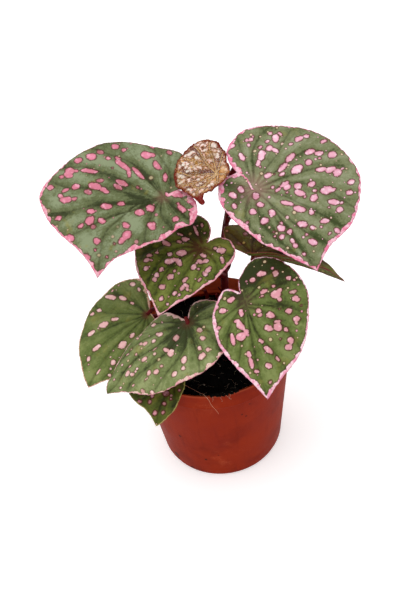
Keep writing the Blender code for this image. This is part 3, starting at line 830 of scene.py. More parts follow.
def nearestMargin(edge, spots):
    tree = kdtree.KDTree(len(edge))
    for index, point in enumerate(edge):
        tree.insert((*point, 0), index)
    tree.balance()
    found = [tree.find((*spot, 0)) for spot in spots]
    return np.array([index for _, index, _ in found]), np.array([distance for _, _, distance in found])


def insideMargin(edge, spots):
    inside = np.zeros(len(spots), bool)
    for (x1, y1), (x2, y2) in zip(edge, np.roll(edge, -1, 0)):
        crosses = (y1 > spots[:, 1]) != (y2 > spots[:, 1])
        inside ^= crosses & (spots[:, 0] < x1 + (spots[:, 1] - y1) * (x2 - x1) / (y2 - y1 + 1e-12))
    return inside


def fillMargin(edge, step):
    # a honeycomb of points inside the margin, joined to it by triangles
    low, high = edge.min(0), edge.max(0)
    across = np.arange(low[0], high[0], step)
    upward = np.arange(low[1], high[1], step * blade["rowStep"])
    comb = np.stack(np.meshgrid(across, upward), -1)
    comb[1::2, :, 0] += step / 2
    comb = comb.reshape(-1, 2)
    comb = comb[insideMargin(edge, comb)]
    comb = comb[nearestMargin(edge, comb)[1] > step * blade["marginGap"]]
    spots = np.concatenate([edge, comb])
    loop = [(index, (index + 1) % len(edge)) for index in range(len(edge))]
    verts, _, faces, *_ = delaunay_2d_cdt([Vector(spot) for spot in spots], loop, [], 1, 1e-6)
    if len(verts) != len(spots):
        raise ValueError(f"a leaf's margin crosses itself near {tuple(verts[-1])}")
    return spots, np.array(faces)


def pointNormals(points, faces):
    corner = points[faces]
    normal = np.cross(corner[:, 1] - corner[:, 0], corner[:, 2] - corner[:, 0])
    total = np.zeros_like(points)
    for side in range(3):
        np.add.at(total, faces[:, side], normal)
    return total / (np.linalg.norm(total, axis=1)[:, None] + 1e-12)


def bladeRise(leaf, spots, closest, share):
    # height above the plain blade: swellings between the veins, waves at the margin and fine wrinkles
    (width, level, power), (sideWidth, sideLevel, sidePower) = blade["veinFold"], blade["sideFold"]
    lines = [flatPath(vein, 5) for vein in leaf["veins"]]
    vein, second = nearestTwo(spots, lines)
    ridge = 2 * vein / (vein + second + width)
    side, other = nearestTwo(spots, lines + sideVeins(lines, *leaf["sideVeins"]))
    quilt = 2 * side / (side + other + sideWidth)
    grow = np.clip(np.hypot(*spots.T) / blade["growth"], 0, 1)
    grow *= 1 - blade["edgeShare"] * np.clip(1 - closest / blade["edgeCalm"], 0, 1) ** 2
    points = [Vector((x, y, 11)) / blade["wrinkleSize"] for x, y in spots]
    wrinkle = np.array([noise.fractal(point, 1.0, 2.0, 3) for point in points])
    waves, count = leaf["flutter"]
    rise = waves * np.sin(math.tau * count * share) * np.clip(1 - closest / blade["flutterReach"], 0, 1) ** 2
    rise += leaf["pleat"] * grow * (level - (1 - ridge) ** power)
    rise += leaf["quilt"] * grow * (sideLevel - (1 - quilt) ** sidePower)
    rise += (leaf["wrinkle"] * wrinkle + leaf["blister"] * leafNoise(spots, 23, leaf["blisterSize"])) * grow
    return rise, ridge, quilt, vein


def lapSeam(spots, rim, seam):
    # one lobe laps over the other along the seam, with a pale edge
    gap = lineDistance(spots, seam)
    over = spots[:, 0] > np.interp(spots[:, 1], seam[:, 1], seam[:, 0])
    ease = np.exp(-(gap / blade["lapReach"]) ** 2)
    ease *= np.clip((seam[-1, 1] - spots[:, 1]) / blade["lapEase"], 0, 1)
    step = np.where(over, *blade["lapStep"]) * blade["lap"] * ease
    return step, np.where(over, np.minimum(rim, gap - blade["seamPink"]), rim)


def writeAttribute(mesh, label, values, kind="FLOAT", key="value"):
    mesh.attributes.new(label, kind, "POINT").data.foreach_set(key, values.astype(np.float32).ravel())


def makeBlade(name, leaf, materials):
    # a thin solid sheet: top, underside, and a rounded edge between them
    edge, edgeShare, widths = leafMargin(leaf)
    spots, faces = fillMargin(edge, leaf["grid"])
    count, around = len(spots), len(edge)
    nearest, closest = nearestMargin(edge, spots)
    rise, ridge, quilt, vein = bladeRise(leaf, spots, closest, edgeShare[nearest])
    rim = closest - widths[nearest]
    if "seam" in leaf:
        step, rim = lapSeam(spots, rim, np.array(leaf["seam"]))
        rise += step
    top = bladeSurface(leaf, spots, rise)
    normal = pointNormals(top, faces)
    thin = np.clip(1 - closest / blade["thinning"], 0, 1) ** 2
    depth = blade["thickness"] + (blade["edgeThickness"] - blade["thickness"]) * thin
    bottom = top - normal * depth[:, None]
    outside = np.cross(np.roll(top[:around], -1, 0) - np.roll(top[:around], 1, 0), normal[:around])
    outside /= np.linalg.norm(outside, axis=1)[:, None] + 1e-12
    middle = (top[:around] + bottom[:around]) / 2 + outside * blade["bead"]

    here = np.arange(around)
    there = (here + 1) % around
    upper = np.stack([there, here, here + 2 * count, there + 2 * count], 1)
    lower = np.stack([there + 2 * count, here + 2 * count, here + count, there + count], 1)
    allFaces = [*faces.tolist(), *upper.tolist(), *lower.tolist(), *(faces[:, ::-1] + count).tolist()]
    mesh = newMesh(name, np.concatenate([top, bottom, middle]).tolist(), allFaces)
    upside = len(faces) + around
    mesh.polygons.foreach_set("material_index", [0] * upside + [1] * (len(allFaces) - upside))

    # the material reads these; they are the same on the top, the underside and the edge
    gap, tone = spotDistance(spots, leaf["spots"])
    # the shade attribute carries the painted light and shade of the soft patches
    known = {"spot": gap, "tone": tone, "rim": rim, "ridge": ridge, "quilt": quilt, "vein": vein,
             "margin": closest, "shade": patchShade(spots, leaf["lightAndShadePatches"])}
    for label, values in known.items():
        writeAttribute(mesh, label, np.concatenate([values, values, values[:around]]))
    flat = np.pad(np.concatenate([spots, spots, spots[:around]]), ((0, 0), (0, 1)))
    writeAttribute(mesh, "flat", flat, "FLOAT_VECTOR", "vector")
    mesh.shade_smooth()
    mesh.update()
    return addPiece(name, mesh, materials), middle, outside


def makeFringe(name, leaf, middle, outside, material, seed):
    # hairs along the margin; each point carries the direction in which its hair stands
    every = max(1, round(blade["hairSpacing"] / blade["marginStep"]))
    mesh = newMesh(name + "Base", middle[::every].tolist())
    writeAttribute(mesh, "outward", outside[::every], "FLOAT_VECTOR", "vector")
    return grown(name, addPiece(name + "Base", mesh), fringe,
                 {"Length": leaf["hairLength"] * mm, "Thickness": blade["hairThickness"] * mm,
                  "Spread": blade["hairSpread"], "Seed": seed, "Material": material})


def leafGround(name, look, seed):
    # the start of a leaf's material: noise of four sizes, and green that is dark in the valleys, as painted
    # shade over the leaf's own darker green, and paler and greyer on the swellings, as painted sheen, with
    # streaks that run out from the stalk; the soft patches of painted light and shade lighten and darken it
    # further
    material = newMaterial(name, look["roughness"], look["gloss"])
    tree = material.node_tree
    flat = addNode(tree, "ShaderNodeAttribute", attribute_name="flat").outputs["Vector"]
    grains = [grain(flat, *settings, seed + shift) for settings, shift in zip(look["grains"], (0, 3, 1, 2))]
    cloud, middle, fine, _ = grains
    reach = vectors("LENGTH", flat)
    outwards = addNode(tree, "ShaderNodeCombineXYZ", {2: times(reach, 0.05)})
    spoke = vectors("ADD", vectors("SCALE", vectors("NORMALIZE", flat), scale=14.0), outwards)
    streak = grain(spoke, 1.0, 3, 0.6, seed + 7)
    # painted light and shade: the soft patches, and the ridges that darken the valleys and grey the swellings
    ridge, shade = readings(material, "ridge", "shade")
    high = piled(shade, (ridge, look["swelling"]))
    for value, factor in ((cloud, 1.3), (middle, 0.9), (streak, look["streak"]), (fine, look["mottle"])):
        high = centred(value, factor, high)
    colour = coats(look["valley"], look, (fade(high, -0.35, 0.3), "green"), (fade(high, 0.2, 0.95), "swell"))
    return material, colour, flat, reach, streak, grains


def bladeMaterial(name, look, seed):
    material, colour, flat, reach, streak, (_, middle, fine, tiny) = leafGround(name, look, seed)
    gap, tone, rim, quilt, vein, margin = readings(material, "spot", "tone", "rim", "quilt", "vein", "margin")
    # yellowish stains, and the flush round the stalk
    stain = fade(grain(flat, 0.06, 3, 0.6, seed + 5), 0.58, 0.7, 0, look["stain"])
    flush = times(fade(reach, look["flushReach"], 0.5), fade(vein, 2.5, 0.3, 0.45, 0.9), look["flushPower"])
    # spots and margin with a dark red edge; their outline is torn by noise
    torn = centred(fine, 1.5, centred(middle, look["tear"], sums("ADD", gap, look["shrink"])))
    edge = centred(fine, 1.8, centred(middle, look["rimTear"], rim))
    halo = sums("MAXIMUM", fade(torn, 1.3, 0.35), fade(edge, 1.0, 0.3, 0, look["rimHalo"]))
    pink = coats(look["dusky"], look, (tone, "spot"), (fade(torn, -1.2, 0.1, 0, 0.75), "dusky"),
                 (fade(middle, 0.5, 0.3, 0, 0.7), "heart"), (fade(tiny, 0.62, 0.75, 0, 0.35), "haloColour"))
    inside = times(fade(torn, 0.3, -0.25), fade(tone, 0.0, 0.5, 0.65, 1.0))
    edging = coats(look["rimPale"], look, (fade(middle, 0.4, 0.6), "rim"),
                   (fade(fine, 0.56, 0.68, 0, 0.55), "haloColour"))
    # tiny pale dots scattered between the spots
    away, chance, size, tint = cellular(flat, look["dotScale"])
    near = sums("DIVIDE", centred(tiny, 0.11, away), piled(0.06, (sums("POWER", size, 3.0), 0.13)))
    some = times(fade(chance, look["dotShare"], look["dotShare"] - 0.1), look["dots"])
    speck = coats(look["dotColour"], look, (fade(tint, 0.35, 0.65), "spot"))
    # the veins and side veins are darker: painted shade in their creases, with the veins' own darker green
    colour = coats(colour, look, (times(fade(vein, 1.3, 0.1), look["crease"]), "creaseColour"),
                   (times(fade(quilt, 0.25, 0.0), look["quiltLine"]), "valley"), (stain, "stainColour"),
                   (flush, "flush"), (times(halo, look["halo"]), "haloColour"),
                   (times(fade(near, 2.1, 1.2, 0, 0.6), some), "haloColour"),
                   (times(fade(near, 1.15, 0.7), some), speck), (inside, pink),
                   (fade(edge, 0.2, -0.2), edging),
                   (times(fade(piled(margin, (fine, 0.8)), 0.7, 0.35), 0.4), "fringe"))
    relief = piled(fine, (fade(quilt, 0.0, 0.35), 0.5), (tiny, 0.5), (middle, 0.9), (streak, 0.7))
    roughness = fade(fine, 0.3, 0.7, look["roughness"] - 0.06, look["roughness"] + 0.08)
    return painted(material, colour, relief, look["bump"], roughness)


def youngMaterial(name, look, seed):
    # bronze, blistered cream and pink between pale veins with dark edges; the blisters' pale cores and the
    # fine bright specks are painted highlights, and the darker hollows between the blisters and the veins'
    # dark edges are painted shade; the tip is dark red
    material, colour, flat, reach, _, (cloud, _, fine, tiny) = leafGround(name, look, seed)
    gap, vein, quilt, margin, shade = readings(material, "spot", "vein", "quilt", "margin", "shade")
    shift = addNode(material.node_tree, "ShaderNodeTexNoise", {"Vector": flat, "Scale": 0.6, "Detail": 1.0})
    shift = vectors("SCALE", vectors("SUBTRACT", shift.outputs["Color"], (0.5, 0.5, 0.5)), scale=2.2)
    away, chance, *_ = cellular(vectors("ADD", flat, shift), look["blisterScale"])
    dome = fade(away, 0.6, 0.34)
    lump = coats(look["heart"], look, (fade(cloud, 0.42, 0.58), "spot"), (fade(chance, 0.6, 0.9), "dusky"))
    # the blisters fade out where the painted shade of the soft patches is dark
    where = times(fade(vein, 0.8, 1.8), fade(margin, 0.6, 2.4), fade(reach, 4.0, 11.0),
                  fade(shade, -0.75, -0.2))
    some = times(fade(chance, 0.0, 0.2), fade(gap, 4.0, 0.8, 0.7, 1.0), where)
    olive = fade(grain(flat, 0.09, 2, 0.5, seed + 5), 0.5, 0.66, 0, look["stain"])
    ragged = centred(cloud, 6.0, centred(fine, 5.0, margin))
    toTip = centred(fine, 5.0, vectors("DISTANCE", flat, (*look["tip"], 0)))
    # painted shade in the hollows between blisters, then the blisters and their pale cores, a painted
    # highlight
    colour = coats(colour, look, (times(fade(away, 0.42, 0.66), where, 0.95), "valley"),
                   (times(dome, some), lump), (times(fade(away, 0.36, 0.16), some), "heart"),
                   (times(fade(quilt, 0.3, 0.02), look["quiltLine"]), "valley"),
                   # painted shade along the veins' edges, and painted highlights in the fine bright specks
                   (fade(vein, 1.4, 0.7, 0, 0.75), "creaseColour"), (fade(vein, 0.5, 0.25, 0, 0.7), "swell"),
                   (olive, "stainColour"), (fade(tiny, 0.54, 0.62, 0, 0.95), "heart"),
                   (fade(tiny, 0.4, 0.3, 0, 0.5), "valley"), (fade(ragged, 2.6, 0.8, 0, 0.75), "rim"),
                   (fade(ragged, 1.2, 0.3, 0, 0.85), "fringe"), (fade(toTip, 7.5, 3.5, 0, 0.9), "flush"))
    return painted(material, colour, piled(fine, (tiny, 0.8), (dome, 1.6)), look["bump"])


def undersideMaterial(name, under):
    # paler, flushed red along the veins, which stand out below
    material = newMaterial(name, 0.6, blade["underGloss"])
    flat = addNode(material.node_tree, "ShaderNodeAttribute", attribute_name="flat").outputs["Vector"]
    quilt, vein, gap, rim = readings(material, "quilt", "vein", "spot", "rim")
    fine = grain(flat, 0.8, 3, 0.6, 31)
    colour = coats(under["flesh"], under, (fade(fine, 0.35, 0.7), "green"),
                   (fade(quilt, 0.3, 0.02, 0, 0.6), "net"), (fade(vein, 1.2, 0.5), "vein"),
                   (fade(centred(fine, 2.4, gap), 0.6, -0.4, 0, 0.55), "spot"),
                   (fade(rim, 0.3, -0.3, 0, 0.8), "rim"))
    return painted(material, colour, piled(fine, (fade(vein, 1.0, 0.2), 3.0)), blade["underBump"])


plainUnder = {"flesh": (112, 74, 58), "green": (96, 96, 56), "net": (128, 46, 50), "vein": (140, 40, 48),
              "spot": (190, 112, 120), "rim": (200, 120, 128)}
underside = undersideMaterial("leaf_underside", plainUnder)
plainLook = {
    "swell": (112, 120, 78), "green": (84, 94, 48), "valley": (48, 58, 24), "spot": (236, 146, 178),
    "dusky": (188, 100, 118), "heart": (244, 176, 196), "halo": 0.8, "haloColour": (78, 28, 26),
    "rim": (232, 140, 168), "rimPale": (242, 190, 196), "rimHalo": 0.7, "fringe": (150, 70, 80),
    "stain": 0.35, "stainColour": (142, 134, 60), "flush": (108, 60, 44), "flushReach": 12.0,
    "flushPower": 0.6, "quiltLine": 0.2, "crease": 0.3, "creaseColour": (46, 42, 20), "mottle": 0.7,
    "swelling": 0.6, "streak": 0.9, "tear": 2.0, "rimTear": 1.8, "shrink": 0.2, "dots": 0.85,
    "dotScale": 0.16, "dotShare": 0.5, "dotColour": (212, 190, 150), "roughness": 0.5, "gloss": 0.16,
    "bump": 0.3,
    # noise from coarse to fine: scale, detail and roughness
    "grains": ((0.07, 4, 0.6), (0.32, 2, 0.5), (0.9, 3, 0.6), (2.6, 2, 0.6)),
}
# "foot" is where the stalk meets the blade, "heading" the compass heading of the tip, "droop" and "roll"
# tilt it. Each half may "lift" at the midrib and bends by "arch"; the blade bends by "bend" to tip and lobes.
# "right" and "left" are the margin from tip to notch, seen from above, the stalk at (0, 0), the tip at +Y.
# "pinkRight" and "pinkLeft" are the widths of the pale edge along those margins.
# A spot is (x, y, length, width, turn, brightness); brightness is 0 dusky to 1 vivid.
# The patches are soft areas of painted light and shade, lighter or darker: (x, y, length, width, turn,
# strength).
# "seam" is the edge of a lobe that laps over its neighbour, from the notch to the stalk.
# What a leaf doesn't say, it takes from these plain values.
plainLeaf = {
    "lift": (0, 0), "teeth": 0.35, "flutter": (0.6, 5), "quilt": 0.25, "wrinkle": 0.4, "blister": 0.12,
    "blisterSize": 3, "sideVeins": (7, 8), "patchy": 0.8, "grid": 0.8, "hairLength": 0.8,
    "finish": bladeMaterial,
}


def makeLeaf(node, given, seed):
    leaf, look = {**plainLeaf, **given}, {**plainLook, **given["look"]}
    top = leaf["finish"]("blade_" + node, look, seed * 3.7)
    below = underside
    if "under" in leaf:
        below = undersideMaterial("underside_" + node, {**plainUnder, **leaf["under"]})
    piece, middle, outside = makeBlade("blade_" + node, leaf, [top, below])
    place(piece, "blade_" + node, "leaf_" + node)
    hair = newMaterial("fringe_" + node, 0.6, 0.1, look["fringe"])
    place(makeFringe("fringe_" + node, leaf, middle, outside, hair, seed), "blade_" + node)
    normal = (bladePose(leaf).to_3x3() @ Vector((0, 0, 1))).normalized()
    tip = Vector(leaf["foot"]) - normal * stem["underBlade"]
    via = [Vector(point) for point in leaf["via"]]
    path = [*stalkStart(leaf["root"]), *via, tip - normal * stem["lastBit"], tip]
    radii = (stem["stalkRadius"], stem["stalkTop"])
    makeStalk("stalk_" + node, path, radii, stem["stalkSwell"], seed, "petiole_" + node)
    print("leaf", node, "grown,", len(piece.data.polygons), "faces")


upperLeft = {
    "foot": (-19.5, 43.7, 205), "heading": -134, "droop": 9, "roll": -16, "arch": (17, 29), "bend": (29, 6),
    "right": (
        (0, 73.5), (19, 66), (39.5, 63.5), (59.5, 58.5), (76, 47), (79, 27), (75.5, 6.5), (66.5, -12.5),
        (51, -25), (31.5, -32), (10.5, -37), (-4, -23.5), (-7.2, -13.9), (-5.2, -11), (-3.1, -8.1),
        (-1.5, -4),
    ),
    "left": (
        (0, 73.5), (-1, 60.5), (-6.5, 48), (-13.5, 37), (-20.5, 25), (-23.5, 14.5), (-28.5, 2), (-21.5, -10),
        (-8, -12.5), (-1.5, -4),
    ),
    "root": ("stem", 124, 150), "via": ((5, 54, 139), (-3, 59, 160), (-11, 58, 184)), "patchy": 1.8,
    "flutter": (0.8, 5), "pleat": 1.0, "quilt": 0.3, "wrinkle": 0.5, "sideVeins": (8, 9),
    "lightAndShadePatches": (
        (2, 29, 26, 12, 0, 0.8), (24, -22, 60, 26, 20, 0.6), (42, -1, 60, 7, 4, 0.6),
        (20, 57, 40, 14, -8, 0.35), (62, 47, 24, 10, -25, 0.35), (62, 5, 26, 10, 15, 0.3),
        (10, 12, 34, 16, 15, -0.8), (32, 9, 46, 6, 8, -0.5), (26, 26, 30, 8, 32, -0.4),
        (22, -8, 44, 5, -14, -0.6), (66, -14, 24, 10, 35, -0.4), (50, 50, 26, 6, 35, -0.5),
        (45, 22, 40, 8, 25, -0.2), (-16, 6, 18, 20, 0, -0.3), (34, 40, 24, 8, 60, -0.2),
        (4, 50, 30, 40, 0, 0.3), (64, 18, 40, 60, 0, 0.25), (46, 46, 50, 26, -25, 0.2),
    ),
    "pinkRight": (1.2, 1.3, 1.4, 1.8, 1.4, 0.6, 0.2, 0.1, 0.1, 0.1, 0.1, 0.3, 0.4, 0.4, 0.3, 0.3),
    "pinkLeft": (1.5, 1.8, 2.2, 2.2, 2.2, 1.6, 2.2, 3.6, 3.8, 3, 2.2),
    "veins": (
        ((0, 0), (1, 4), (10, 5), (20, 4.5), (40, 6.5), (50, 8), (60, 10), (70, 15), (77, 19)),
        ((0, 0), (2, -1), (10, -3), (20, -6), (30, -9.5), (40, -10.5), (50, -9), (60, -7), (73, -5)),
        ((0, 0), (0, -8), (5, -15), (10, -20), (20, -25), (30, -29)),
        ((0, 0), (10, 10), (25, 13), (38, 18), (50, 25), (60, 31), (70, 33), (78, 34)),
        ((0, 0), (10, 15), (25, 24), (33, 31), (40, 38), (50, 48), (58, 54)),
        ((0, 0), (8, 18), (20, 34), (28, 48), (36, 62)),
        ((0, 0), (10, 15), (13, 30), (15, 45), (8, 60), (0, 73)), ((0, 0), (-2, 14), (-6, 26), (-12, 36)),
        ((0, 0), (-8, 12), (-22, 16)), ((0, 0), (-12, 2), (-26, 2)),
    ),
    "spots": (
        (16.2, 53.1, 5, 4.5, 20), (30.1, 43.7, 7, 6, 60), (33, 50.1, 5, 3, 70), (25.1, 46.1, 4, 3, 0, 0.1),
        (22.6, 39.4, 6, 4, 10), (33.8, 37.8, 6.5, 4, 25, 1), (27.3, 28.7, 8.5, 5, 25),
        (20.1, 21.4, 5.5, 3.5, 25), (1.6, 38.1, 6, 7), (1.8, 42.8, 4, 6), (6.4, 32.8, 6, 4, -10),
        (-8.2, 23.1, 7, 4.5, -15), (-8.2, 20.6, 3, 2), (4.9, 19.8, 7, 5, 25), (1.2, 12.6, 6, 5.5),
        (-17.9, 9, 4, 5), (-16, -0.4, 7, 4), (-12.3, -1.7, 3, 2), (36.8, 19.4, 8, 3.8),
        (45.1, 20.1, 10, 5, 15), (45.7, 26.8, 6, 4, 0, 0.2), (44.6, 14.8, 6, 3, 25, 0.2),
        (55.7, 40.3, 9, 5, 35), (50.7, 36.4, 4, 3, 40), (61, 39.8, 5, 3), (61.2, 34.2, 6, 3, 60),
        (56.8, 28.1, 6, 4.5, 45), (68.4, 22.6, 8, 5), (70.1, 19.2, 8, 6), (65.7, 17, 4, 3),
        (71.8, 26.4, 4, 3), (57.3, 12, 13, 4.2, 25), (30.7, 12, 7, 3, 0, 0.2), (30.4, 7.6, 10, 4.5, 5, 0.3),
        (70.7, 8.7, 6, 5, 45), (64.3, 1.1, 8, 6, 10, 1), (62.1, -5.8, 6, 4, 0, 0.2), (52.9, -4.1, 4, 3),
        (31.8, -1.9, 8, 3, -45), (40.1, -5, 15, 4.5, -8), (26.8, -5.8, 14, 3.5, -17), (47.9, -8.6, 5, 3),
        (9, -14.1, 8, 3.3, -55), (20.1, -18.6, 9, 4.5, -25), (32.3, -21.9, 8, 7, 0, 1), (29, -24.7, 5, 4),
        (56.2, -15.8, 6, 5), (49, -16.9, 4, 3), (20.1, -33, 5, 3, 0, 0.2), (34, -30.8, 4, 2),
        (51.2, 54.2, 5, 4, 45), (72.9, 38.1, 5, 4.5), (34, 61.4, 7, 5, 0, 1), (9, 68.1, 4, 3),
        (15.1, 65.9, 6, 4), (-24.9, -1.9, 6, 5), (-6.6, -7.4, 9, 5, 30), (-20.4, -8.6, 7, 4),
        (12.9, 58.7, 2, 1.5), (44.6, 1.1, 1.6, 1.4), (3.2, 58.3, 2, 1.5), (4.6, 47.9, 2, 1.4),
        (19, 4.2, 3, 2, 0, 0),
    ),
    "look": {
        "swell": (136, 146, 112), "green": (98, 106, 68), "valley": (54, 62, 28), "spot": (228, 132, 158),
        "dusky": (192, 108, 120), "heart": (244, 172, 192), "haloColour": (84, 36, 34),
        "rim": (228, 126, 152), "rimPale": (240, 176, 190), "stain": 0.5, "mottle": 1.0, "streak": 1.2,
        "flush": (124, 84, 70), "flushReach": 9.0, "fringe": (128, 84, 74), "dotScale": 0.13, "dotShare": 0.4,
        "dots": 0.6, "gloss": 0.2,
    },
}
makeLeaf("upper_left", upperLeft, 1)

upperRight = {
    "foot": (43.2, 38.8, 205), "heading": -62, "droop": 17, "roll": 14, "arch": (29, 20), "bend": (23, 6),
    "right": (
        (0, 73), (6.5, 60), (13, 47), (19.5, 34), (22.5, 20), (25, 6), (23.5, -8.5), (15, -19.5),
        (1.5, -17.5),
    ),
    "left": (
        (0, 73), (-17.5, 64), (-37, 60), (-54, 48.5), (-66.5, 32.5), (-70, 12), (-66, -7.5), (-55.5, -25),
        (-38.5, -37.5), (-19.5, -45), (-2.5, -37), (1.5, -17.5),
    ),
    "root": ("stem", 130, 55), "via": ((22, 51, 143), (21.4, 50, 157), (22.4, 49.5, 170), (26, 48, 187)),
    "patchy": 1.4, "teeth": 0.4, "flutter": (0.8, 5), "pleat": 0.75, "sideVeins": (8, 9),
    "seam": ((1.5, -17.5), (-0.7, -14), (-1.2, -9), (-0.6, -4), (0, -1)),
    "lightAndShadePatches": (
        (12, -4, 22, 26, 0, -0.7), (0, 44, 8, 40, 5, -0.35), (-42, 42, 6, 22, 20, -0.4),
        (-30, 52, 7, 18, 15, -0.5), (-14, 56, 6, 20, 10, -0.4), (-22, 36, 34, 5, -55, -0.3),
        (-10, -2, 24, 12, 10, 0.35), (-55, 28, 24, 14, 0, 0.3), (-20, 28, 30, 9, -50, 0.35),
        (15, 26, 12, 26, 0, 0.2), (-40, -12, 40, 8, 0, 0.25), (-26, -26, 26, 8, 40, 0.2),
        (8, 2, 30, 5, 70, -0.3), (-46, -2, 30, 6, -10, -0.2), (8, 34, 24, 50, 0, -0.4),
    ),
    "pinkRight": (1.5, 2, 2, 2.2, 2.2, 1.8, 2.2, 2.6, 2.2),
    "pinkLeft": (1.5, 2, 1.8, 1.5, 0.9, 0.6, 0.4, 0.4, 0.7, 1.2, 2.4, 2.8),
    "veins": (
        ((0, 0), (-2, 15), (-1.5, 30), (-1, 45), (0, 60), (0, 73)),
        ((0, 0), (-4, 25), (-8, 42), (-13, 54), (-17, 61)),
        ((0, 2), (-8, 10), (-15, 20), (-20, 30), (-25, 40), (-30, 52), (-33, 58)),
        ((-3, 3), (-12, 8), (-25, 12), (-35, 22), (-42, 32), (-46, 45), (-48, 50)),
        ((-3, 1), (-20, 5), (-40, 10), (-55, 15), (-62, 20)),
        ((-3, 0), (-20, -2.5), (-39, -5), (-52, -3), (-57, 3), (-65, 5)),
        ((-3, -2), (-15, -8), (-28, -13), (-36, -18), (-48, -25)),
        ((-3, -5), (-10, -15), (-18, -27), (-28, -33), (-38, -36)),
        ((-2, -6), (-7, -20), (-11, -32), (-15, -42)), ((0, 2), (6, 12), (10, 25), (9, 40), (5, 55)),
        ((2, 2), (14, 10), (18, 18), (17, 32), (14, 42)), ((3, 0), (14, 1), (22, 6)),
        ((2, -2), (8, -8), (14, -17)),
    ),
    "spots": (
        (-9.2, 55.3, 7, 5, -60), (-8.9, 48.7, 2.5, 2.5), (-24.6, 47.6, 7, 4, -20), (-20.2, 49.8, 2, 2),
        (-15.1, 47, 4, 3, -20), (-38.3, 46.4, 5.5, 4.5), (-38.3, 39.8, 8, 5, -35), (-42.6, 43.1, 3, 2),
        (-33.4, 41.1, 2, 1.5), (-52, 39.8, 5.5, 4, -15), (-57.9, 33.9, 6, 4), (-10.9, 40.9, 7.5, 4.5, -45),
        (-21.1, 37.6, 4, 4.5), (-39.8, 29.8, 10, 6.5, -15), (-44, 31.8, 4, 3), (-28.9, 29.8, 6.5, 5, 15),
        (-15.9, 30.9, 9, 5, -45), (-11.4, 22.6, 10, 3.5, -50), (-23.1, 21.4, 8, 5, -55),
        (-33.9, 20, 6, 4.5, -15), (-32.8, 25.6, 3.5, 2.5), (-25.3, 16.1, 6, 5.5), (-24.2, 25.6, 2.5, 2),
        (-54.4, 22.6, 7.5, 6, 15), (-59.4, 21.8, 3, 2), (-52, 18.1, 9, 5), (-46.4, 14.2, 8, 4.5, -25),
        (-18.7, 12.6, 6, 5), (-18.7, 9.8, 8, 3.5), (-12.6, 10.6, 5, 3), (-10.9, 6.8, 3, 2.5),
        (-16.2, 15.9, 3, 1.5), (-60.7, 8.1, 7, 6), (-32.8, 4.8, 10, 6, 5, 1), (-42.9, 4.6, 6, 5, 20),
        (-51.2, 6.4, 2.5, 2.5), (-53.4, 2.3, 7, 4.5, -20), (-22, 2.2, 5, 3, 0, 1), (-49.2, -2.2, 8, 5, -5),
        (-62.6, -4.4, 6, 3.5), (-34.8, -5.8, 10, 4.5, 15), (-25.9, -2.1, 10, 4.5, 20),
        (-13.9, -2.8, 6.5, 4, 0, 1), (-17.6, -1.3, 2, 2), (-55.1, -14.7, 4.5, 4), (-49.4, -15.8, 7, 5),
        (-41.8, -15, 3.5, 2.5), (-27.6, -20.8, 6, 5, 0, 1), (-29.8, -17.4, 4, 6, 20, 1),
        (-19.8, -19.1, 9, 5.5, 45, 1), (-14.2, -15.2, 6, 3.5, 45, 1), (-13.4, -11.9, 2, 2),
        (-36.1, -25.2, 7.5, 5.5, 45, 1), (-41.1, -26.9, 2.5, 4), (-29.8, -26.3, 3.5, 2.5),
        (-23.1, -25.4, 4, 3), (-8.1, -26.3, 8, 4, 80, 1), (-35.6, -31, 4, 3), (-21.4, -35, 4, 4),
        (-19.2, -36.1, 3, 4), (-17.6, -31.9, 2.5, 3.5), (-24.2, -36.3, 2, 2), (-7.6, -38.6, 6, 4, 0, 1),
        (1.9, 50.3, 3.5, 4), (1.7, 46.8, 3.5, 4), (-0.7, 40.3, 4, 4), (5.8, 40.3, 4.5, 4),
        (2.4, 35.3, 6, 5, -60), (9.1, 37.2, 2, 2), (8, 34.2, 2, 2), (0, 32.3, 2.5, 2.5), (8.3, 24.2, 6, 5),
        (0.8, 22.6, 4.5, 5.5), (10.8, 14, 5, 5), (3.6, 12.6, 6, 4, -55), (2.2, 5.3, 5, 6, 0, 0.3),
        (18.2, 2.3, 4, 4.5), (14.4, -5.2, 7, 4.5, -70), (7.4, -5.2, 4.5, 6, 0, 0.3),
        (18.3, 17.6, 3, 2.5, 0, 0.2), (20.8, 19.8, 3, 3), (0.8, 58.7, 2.5, 3), (-27.6, 58.1, 4, 5),
        (-22, 57, 3, 2),
    ),
    "look": {
        "swell": (148, 152, 120), "green": (118, 124, 86), "valley": (66, 78, 38), "spot": (252, 194, 214),
        "dusky": (214, 136, 158), "heart": (255, 224, 234), "haloColour": (92, 40, 40),
        "rim": (234, 124, 158), "rimPale": (246, 190, 206), "flush": (150, 116, 104), "flushReach": 20.0,
        "flushPower": 0.8, "dotColour": (226, 204, 168), "dotShare": 0.62, "shrink": 0.4, "gloss": 0.2,
        "mottle": 1.0, "streak": 1.2,
    },
}
makeLeaf("upper_right", upperRight, 2)

